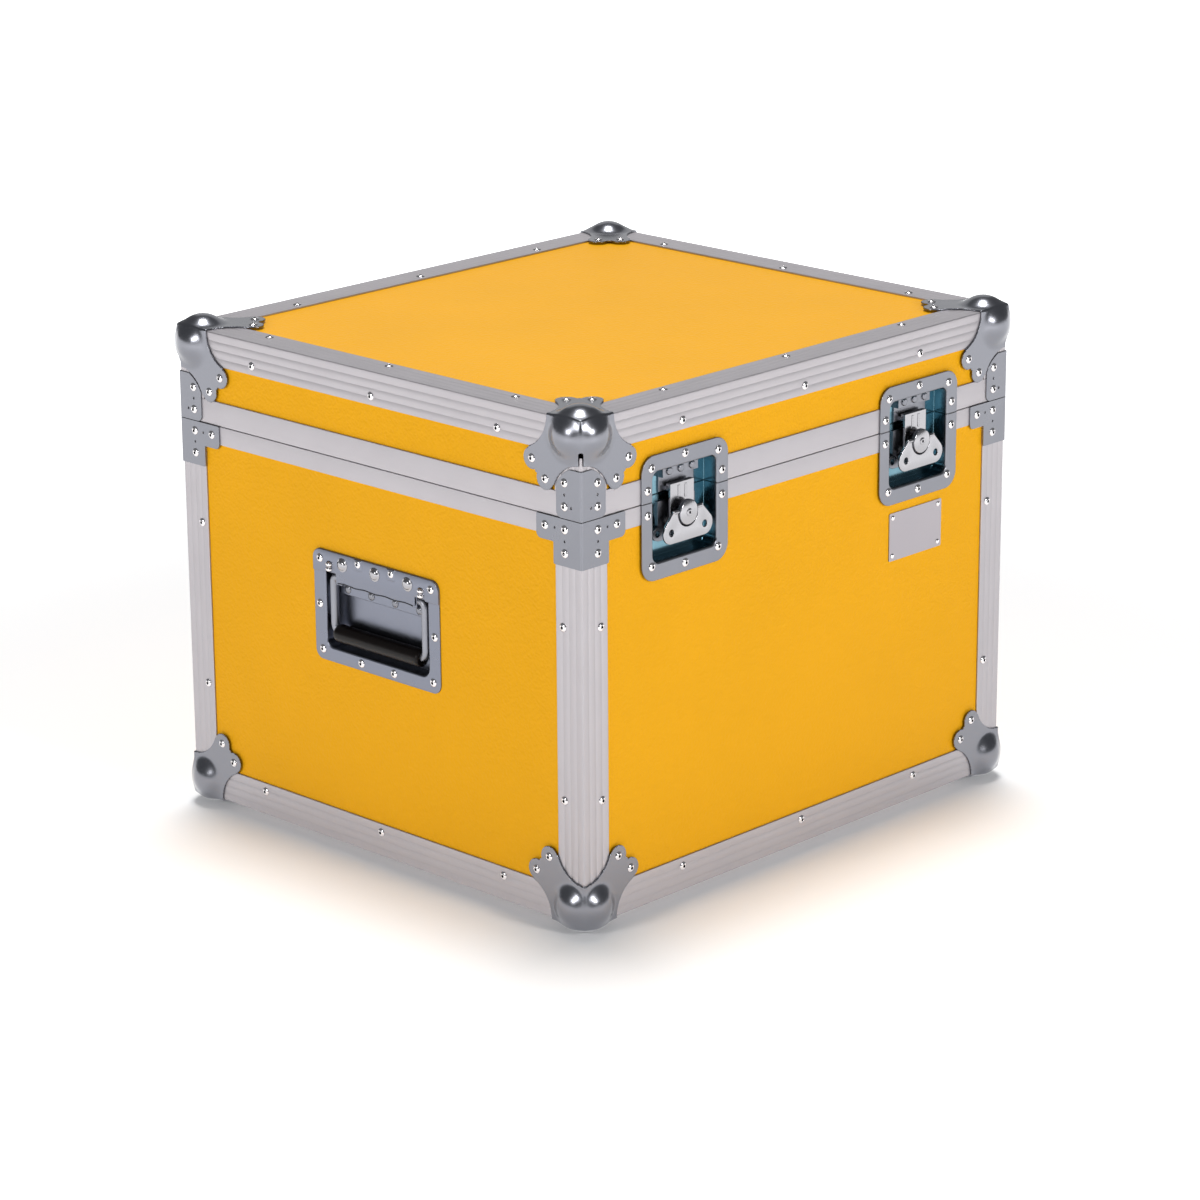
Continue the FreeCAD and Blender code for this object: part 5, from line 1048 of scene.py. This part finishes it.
# Handle covers and springs, with the middle of the handle at the origin
COVER_HALF, COVER_TOP, COVER_LOW, COVER_SIDE, COVER_SHEET = 79.4, 51.25, 23.6, 30.5, 1.3
COVER_NOTCH, COVER_NOTCH_END, COVER_NOTCH_TOP, COVER_CORNER = 50.0, 62.8, 31.8, 9.0
SCALLOP_PITCH, SCALLOP_STEP = 25.0, 2.5
BUMP_ACROSS, BUMP_RISE, BUMP_WIDTH, BUMP_HEIGHT, BUMP_PROUD, BUMP_OVERLAP = 58.0, 37.1, 7.6, 9.0, 3.0, 0.3
TAB_ACROSS, TAB_RISE, TAB_SIZE, TAB_PROUD = 21.0, 45.6, 10.0, 0.6
SPRING, COIL_TURNS, COIL_WIRE, COIL_STEPS = 20.0, 14, 0.6, 16
# Radius of the dark bead that paints the shadow under the cover's lower edge
COVER_SHADOW_BEAD = 0.65
# Half of a grip sleeve, radius and place along it; it reaches over the start of the rod's bends
GRIP_END = ((3.6, 53.4), (6.6, 53.4), (7.5, 53.0), (8.0, 52.0), (8.2, 50.5), (8.2, 46.0), (8.05, 20.0))
BUMP_LOBE = ((1.0, 0.0), (0.98, 0.2), (0.92, 0.39), (0.83, 0.56), (0.7, 0.71), (0.56, 0.83), (0.38, 0.92),
             (0.2, 0.98), (0.0, 1.0))


def rectangle(across, up, wide, tall, radius):
    """Anticlockwise outline with rounded corners round a middle."""
    half, rise = wide / 2, tall / 2
    return rounded_loop([(across - half, up - rise, radius), (across + half, up - rise, radius),
                         (across + half, up + rise, radius), (across - half, up + rise, radius)])


def handle_cover_mesh(name):
    """Pressed strip with a scalloped lower edge, two lanced tabs, and a ribbed bump above each leg."""
    count = round(2 * COVER_NOTCH / SCALLOP_STEP)
    wave = []
    for k in range(1, count):
        u = -COVER_NOTCH + k * SCALLOP_STEP
        rise = (1 - math.cos(2 * math.pi * (u + COVER_NOTCH) / SCALLOP_PITCH)) / 2
        wave.append((u, COVER_LOW + rise * sizes().scallop / MM, 0))
    side = [(COVER_NOTCH, COVER_LOW, 0.8), (COVER_NOTCH, COVER_NOTCH_TOP, 0.8),
            (COVER_NOTCH_END, COVER_NOTCH_TOP, 0.5), (COVER_NOTCH_END, COVER_SIDE, 0.5),
            (COVER_HALF, COVER_SIDE, 0.5), (COVER_HALF, COVER_TOP, COVER_CORNER)]
    outline = rounded_loop([*wave, *side, *[(-u, v, r) for u, v, r in reversed(side)]])
    build = bmesh.new()
    add_plate(build, [outline], (0, 0, 0), COVER_SHEET, sizes().edge_round / MM)
    for sign in (-1, 1):
        tab = rectangle(sign * TAB_ACROSS, TAB_RISE, TAB_SIZE, TAB_SIZE, 1.0)
        add_plate(build, [tab], (0, -TAB_PROUD, 0), COVER_SHEET, TAB_PROUD)
        # The bumps' lobes take the bright rivet steel: painted light on the pressed sheet
        for rise in (-BUMP_HEIGHT / 4, BUMP_HEIGHT / 4):
            spot = Vector((sign * BUMP_ACROSS, -COVER_SHEET / 2, BUMP_RISE + rise)) * MM
            stretch = Matrix.Diagonal((BUMP_WIDTH / 2, BUMP_HEIGHT / 4 + BUMP_OVERLAP, BUMP_PROUD, 1))
            turned(build, BUMP_LOBE, Matrix.Translation(spot) @ facing(FRONT) @ stretch, 2)
    # A dark bead along the lower edge: painted shadow under the cover's edge
    edge = [Vector((u, -COVER_SHEET / 2 + COVER_SHADOW_BEAD / 2, v - COVER_SHADOW_BEAD / 3)) for u, v, _ in wave]
    add_tube(build, edge, COVER_SHADOW_BEAD, 8, 1)
    return mesh_from(name, build, 40.0, ("blue", "wire", "rivet"))


def grip_mesh(name):
    """Dipped sleeve with soft ends, a little slimmer in the middle, along local X."""
    build = bmesh.new()
    outline = [(r, -x) for r, x in GRIP_END] + list(reversed(GRIP_END))
    turned(build, outline, Matrix.Rotation(math.pi / 2, 4, "Y"), segments=BOSS_SEGMENTS)
    return mesh_from(name, build, 50.0)


def coil_mesh(name, radius, spans):
    """Close coil springs along local X, from the coils' middle radius and the two ends of each."""
    build = bmesh.new()
    count = COIL_TURNS * COIL_STEPS
    for start, end in spans:
        path = []
        for k in range(count + 1):
            angle = 2 * math.pi * k / COIL_STEPS
            along = start + COIL_WIRE + (end - start - 2 * COIL_WIRE) * k / count
            path.append(Vector((along, radius * math.cos(angle), radius * math.sin(angle))))
        add_tube(build, path, COIL_WIRE)
    return mesh_from(name, build)


class FLIGHTCASE_OT_handles(bpy.types.Operator):
    """Build the covers, springs and grips of the handles and finish the rest"""

    bl_idname = "flight_case.handles"
    bl_label = "Handles"

    def execute(self, context):
        cover, sleeve = handle_cover_mesh("handle_cover_strip"), grip_mesh("handle_sleeve")
        low, high = [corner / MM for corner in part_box("handle_left_springs")]
        coils = coil_mesh("handle_coils", (high.x - low.x) / 2 - COIL_WIRE,
                          ((low.y, low.y + SPRING), (high.y - SPRING, high.y)))
        for side, _, _, inward, _ in WALLS[2:]:
            name = f"handle_{side}"
            finish("blue", f"{name}_dish", f"{name}_axle_clamp")
            # The bail takes the satin zinc, a lighter copy painted with the light it catches
            finish("satin", f"{name}_bail")
            low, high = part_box(f"{name}_grip")
            piece(f"{name}_sleeve", sleeve, wall_matrix(inward, (low + high) / 2), name, "grip",
                  "handle_grip", f"{name}_grip")
            low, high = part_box(f"{name}_cover")
            back = high.x if side == "left" else low.x
            origin = Vector((back, 0, high.z - COVER_TOP * MM)) - inward * COVER_SHEET / 2 * MM
            piece(f"{name}_cover_strip", cover, wall_matrix(inward, origin), "base", "blue", "handle_steel",
                  f"{name}_cover")
            low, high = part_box(f"{name}_springs")
            piece(f"{name}_coils", coils, wall_matrix(inward, (low + high) / 2), "base", "wire",
                  "spring_wire", f"{name}_springs")
        return {"FINISHED"}


class FLIGHTCASE_OT_hinges(bpy.types.Operator):
    """Finish the hinges and the bare plate"""

    bl_idname = "flight_case.hinges"
    bl_label = "Hinges and plate"

    def execute(self, context):
        finish("zinc", "hinge_base_leaves", "hinge_lid_leaves")
        finish("nickel", "hinge_pins")
        finish("plate", "badge_plate")
        return {"FINISHED"}


# Stage

CAMERA_PLACE = (-2.5385, -2.4558, 1.2994)
CAMERA_AZIMUTH, CAMERA_ELEVATION, CAMERA_ROLL = -45.984, 17.540, -0.414
CAMERA_LENS, CAMERA_SENSOR, CAMERA_FAR = 120.45, 36.0, 100.0
FLOOR_RADIUS, FLOOR_SIDES = 30.0, 96
WORLD_COLOUR, WORLD_STRENGTH = (0.92, 0.95, 1.0, 1.0), 0.2
SUN_STRENGTH, SUN_ANGLE, SUN_DIRECTION = 2.25, 19, (-0.15, -0.15, -1)
# Softboxes: name, azimuth from the front and elevation in degrees, distance, width, watts
LAMPS = (
    ("left_key", -89, 18, 3.0, 0.5, 22.5),
    ("front_key", -3, 18, 3.0, 0.5, 28.0),
    ("back_softbox", 134, 22, 5.0, 3.2, 18.0),
)

# The floor's own glow grows from near the case, where the shadow lies, to plain white far off;
# reflections in the metal see it paler near the case too
FLOOR_NEAR, FLOOR_FAR, FLOOR_GLOW, FLOOR_SHEEN = 0.7, 2.2, 0.08, 0.4


def towards(azimuth, elevation):
    """Direction from the case; azimuth is counted from the front, both in degrees."""
    around, up = math.radians(azimuth), math.radians(elevation)
    return Vector((math.sin(around) * math.cos(up), -math.cos(around) * math.cos(up), math.sin(up)))


def light(name, kind, energy, ray, place=(0, 0, 0)):
    """Lamp that shines along a ray."""
    data = bpy.data.lights.new(name, kind)
    data.energy = energy
    made = bpy.data.objects.new(name, data)
    bpy.context.scene.collection.objects.link(made)
    made.location = place
    made.rotation_euler = ray.to_track_quat("-Z", "Y").to_euler()
    return made


def floor_paper():
    """Matt white studio paper that the camera and reflections see as white, with the case's shadow."""
    material = bpy.data.materials.new("matt_studio_paper")
    material.use_nodes = True
    tree = material.node_tree
    tree.nodes.clear()
    tone = (*colours().floor, 1.0)
    paper = add(tree, "ShaderNodeBsdfDiffuse", {"Color": tone})
    place = add(tree, "ShaderNodeTexCoord").outputs["Object"]
    away = add(tree, "ShaderNodeVectorMath", {0: place}, operation="LENGTH")
    rays = add(tree, "ShaderNodeLightPath")
    near = add(tree, "ShaderNodeMath", {0: rays.outputs["Is Glossy Ray"], 1: FLOOR_SHEEN, 2: FLOOR_GLOW},
               operation="MULTIPLY_ADD")
    strength = add(tree, "ShaderNodeMapRange", {"Value": away.outputs["Value"], 1: FLOOR_NEAR, 2: FLOOR_FAR,
                                                3: near.outputs[0], 4: 1.0}, interpolation_type="SMOOTHSTEP")
    glow = add(tree, "ShaderNodeEmission", {"Color": (1, 1, 1, 1), "Strength": strength.outputs[0]})
    lit = add(tree, "ShaderNodeAddShader", {0: paper.outputs[0], 1: glow.outputs[0]})
    seen = add(tree, "ShaderNodeMath", {0: rays.outputs["Is Camera Ray"], 1: rays.outputs["Is Glossy Ray"]},
               operation="MAXIMUM")
    seen = add(tree, "ShaderNodeMath", {0: seen.outputs[0], 1: rays.outputs["Is Transmission Ray"]},
               operation="MAXIMUM")
    mixed = add(tree, "ShaderNodeMixShader", {0: seen.outputs[0], 1: paper.outputs[0], 2: lit.outputs[0]})
    add(tree, "ShaderNodeOutputMaterial", {"Surface": mixed.outputs[0]})
    return material


class FLIGHTCASE_OT_stage(bpy.types.Operator):
    """Set up the floor, the studio light and the camera"""

    bl_idname = "flight_case.stage"
    bl_label = "Stage"

    def execute(self, context):
        scene = context.scene
        build = bmesh.new()
        bmesh.ops.create_circle(build, cap_ends=True, segments=FLOOR_SIDES, radius=FLOOR_RADIUS)
        mesh = bpy.data.meshes.new("studio_floor")
        build.to_mesh(mesh)
        build.free()
        mesh.materials.append(floor_paper())
        ground = bpy.data.objects.new("studio_floor", mesh)
        scene.collection.objects.link(ground)

        overhead = light("overhead_light", "SUN", SUN_STRENGTH, Vector(SUN_DIRECTION))
        overhead.data.angle = math.radians(SUN_ANGLE)
        for name, azimuth, elevation, distance, width, power in LAMPS:
            way = towards(azimuth, elevation)
            softbox = light(name, "AREA", power, -way, MIDDLE + way * distance)
            softbox.data.shape = "SQUARE"
            softbox.data.size = width
            softbox.visible_camera = False
        world = bpy.data.worlds.new("studio")
        world.use_nodes = True
        background = world.node_tree.nodes["Background"]
        fill(world.node_tree, background, {"Color": WORLD_COLOUR, "Strength": WORLD_STRENGTH})
        scene.world = world

        back, roll = towards(CAMERA_AZIMUTH, CAMERA_ELEVATION), math.radians(CAMERA_ROLL)
        right = UP.cross(back).normalized()
        leaning = right * math.cos(roll) + back.cross(right) * math.sin(roll)
        matrix = Matrix((leaning, back.cross(leaning), back)).transposed().to_4x4()
        matrix.translation = CAMERA_PLACE
        data = bpy.data.cameras.new("photo_camera")
        data.lens = CAMERA_LENS
        data.sensor_width = CAMERA_SENSOR
        data.clip_end = CAMERA_FAR
        eye = bpy.data.objects.new("photo_camera", data)
        scene.collection.objects.link(eye)
        eye.matrix_world = matrix
        scene.camera = eye
        scene.view_settings.view_transform = "Standard"
        return {"FINISHED"}


STEPS = (
    FLIGHTCASE_OT_boards, FLIGHTCASE_OT_edging, FLIGHTCASE_OT_rims, FLIGHTCASE_OT_ball_corners,
    FLIGHTCASE_OT_braces, FLIGHTCASE_OT_rivets, FLIGHTCASE_OT_latches, FLIGHTCASE_OT_handles,
    FLIGHTCASE_OT_hinges, FLIGHTCASE_OT_stage,
)


class FLIGHTCASE_PT_build(bpy.types.Panel):
    """Steps that dress the case"""

    bl_idname = "FLIGHTCASE_PT_build"
    bl_label = "Flight case"
    bl_space_type = "VIEW_3D"
    bl_region_type = "UI"
    bl_category = "Flight case"

    def draw(self, context):
        for group in (context.scene.case_sizes, context.scene.case_colours):
            for key in type(group).__annotations__:
                self.layout.prop(group, key)
        for step in STEPS:
            self.layout.operator(step.bl_idname)


CLASSES = (CaseSizes, CaseColours, *STEPS, FLIGHTCASE_PT_build)


def register():
    for kind in CLASSES:
        bpy.utils.register_class(kind)
    bpy.types.Scene.case_sizes = PointerProperty(type=CaseSizes)
    bpy.types.Scene.case_colours = PointerProperty(type=CaseColours)


def unregister():
    del bpy.types.Scene.case_colours
    del bpy.types.Scene.case_sizes
    for kind in reversed(CLASSES):
        bpy.utils.unregister_class(kind)


def main():
    register()
    FINISH.update(make_materials())
    for step in STEPS:
        getattr(bpy.ops.flight_case, step.bl_idname.split(".")[1])()


if __name__ == "__main__":
    main()
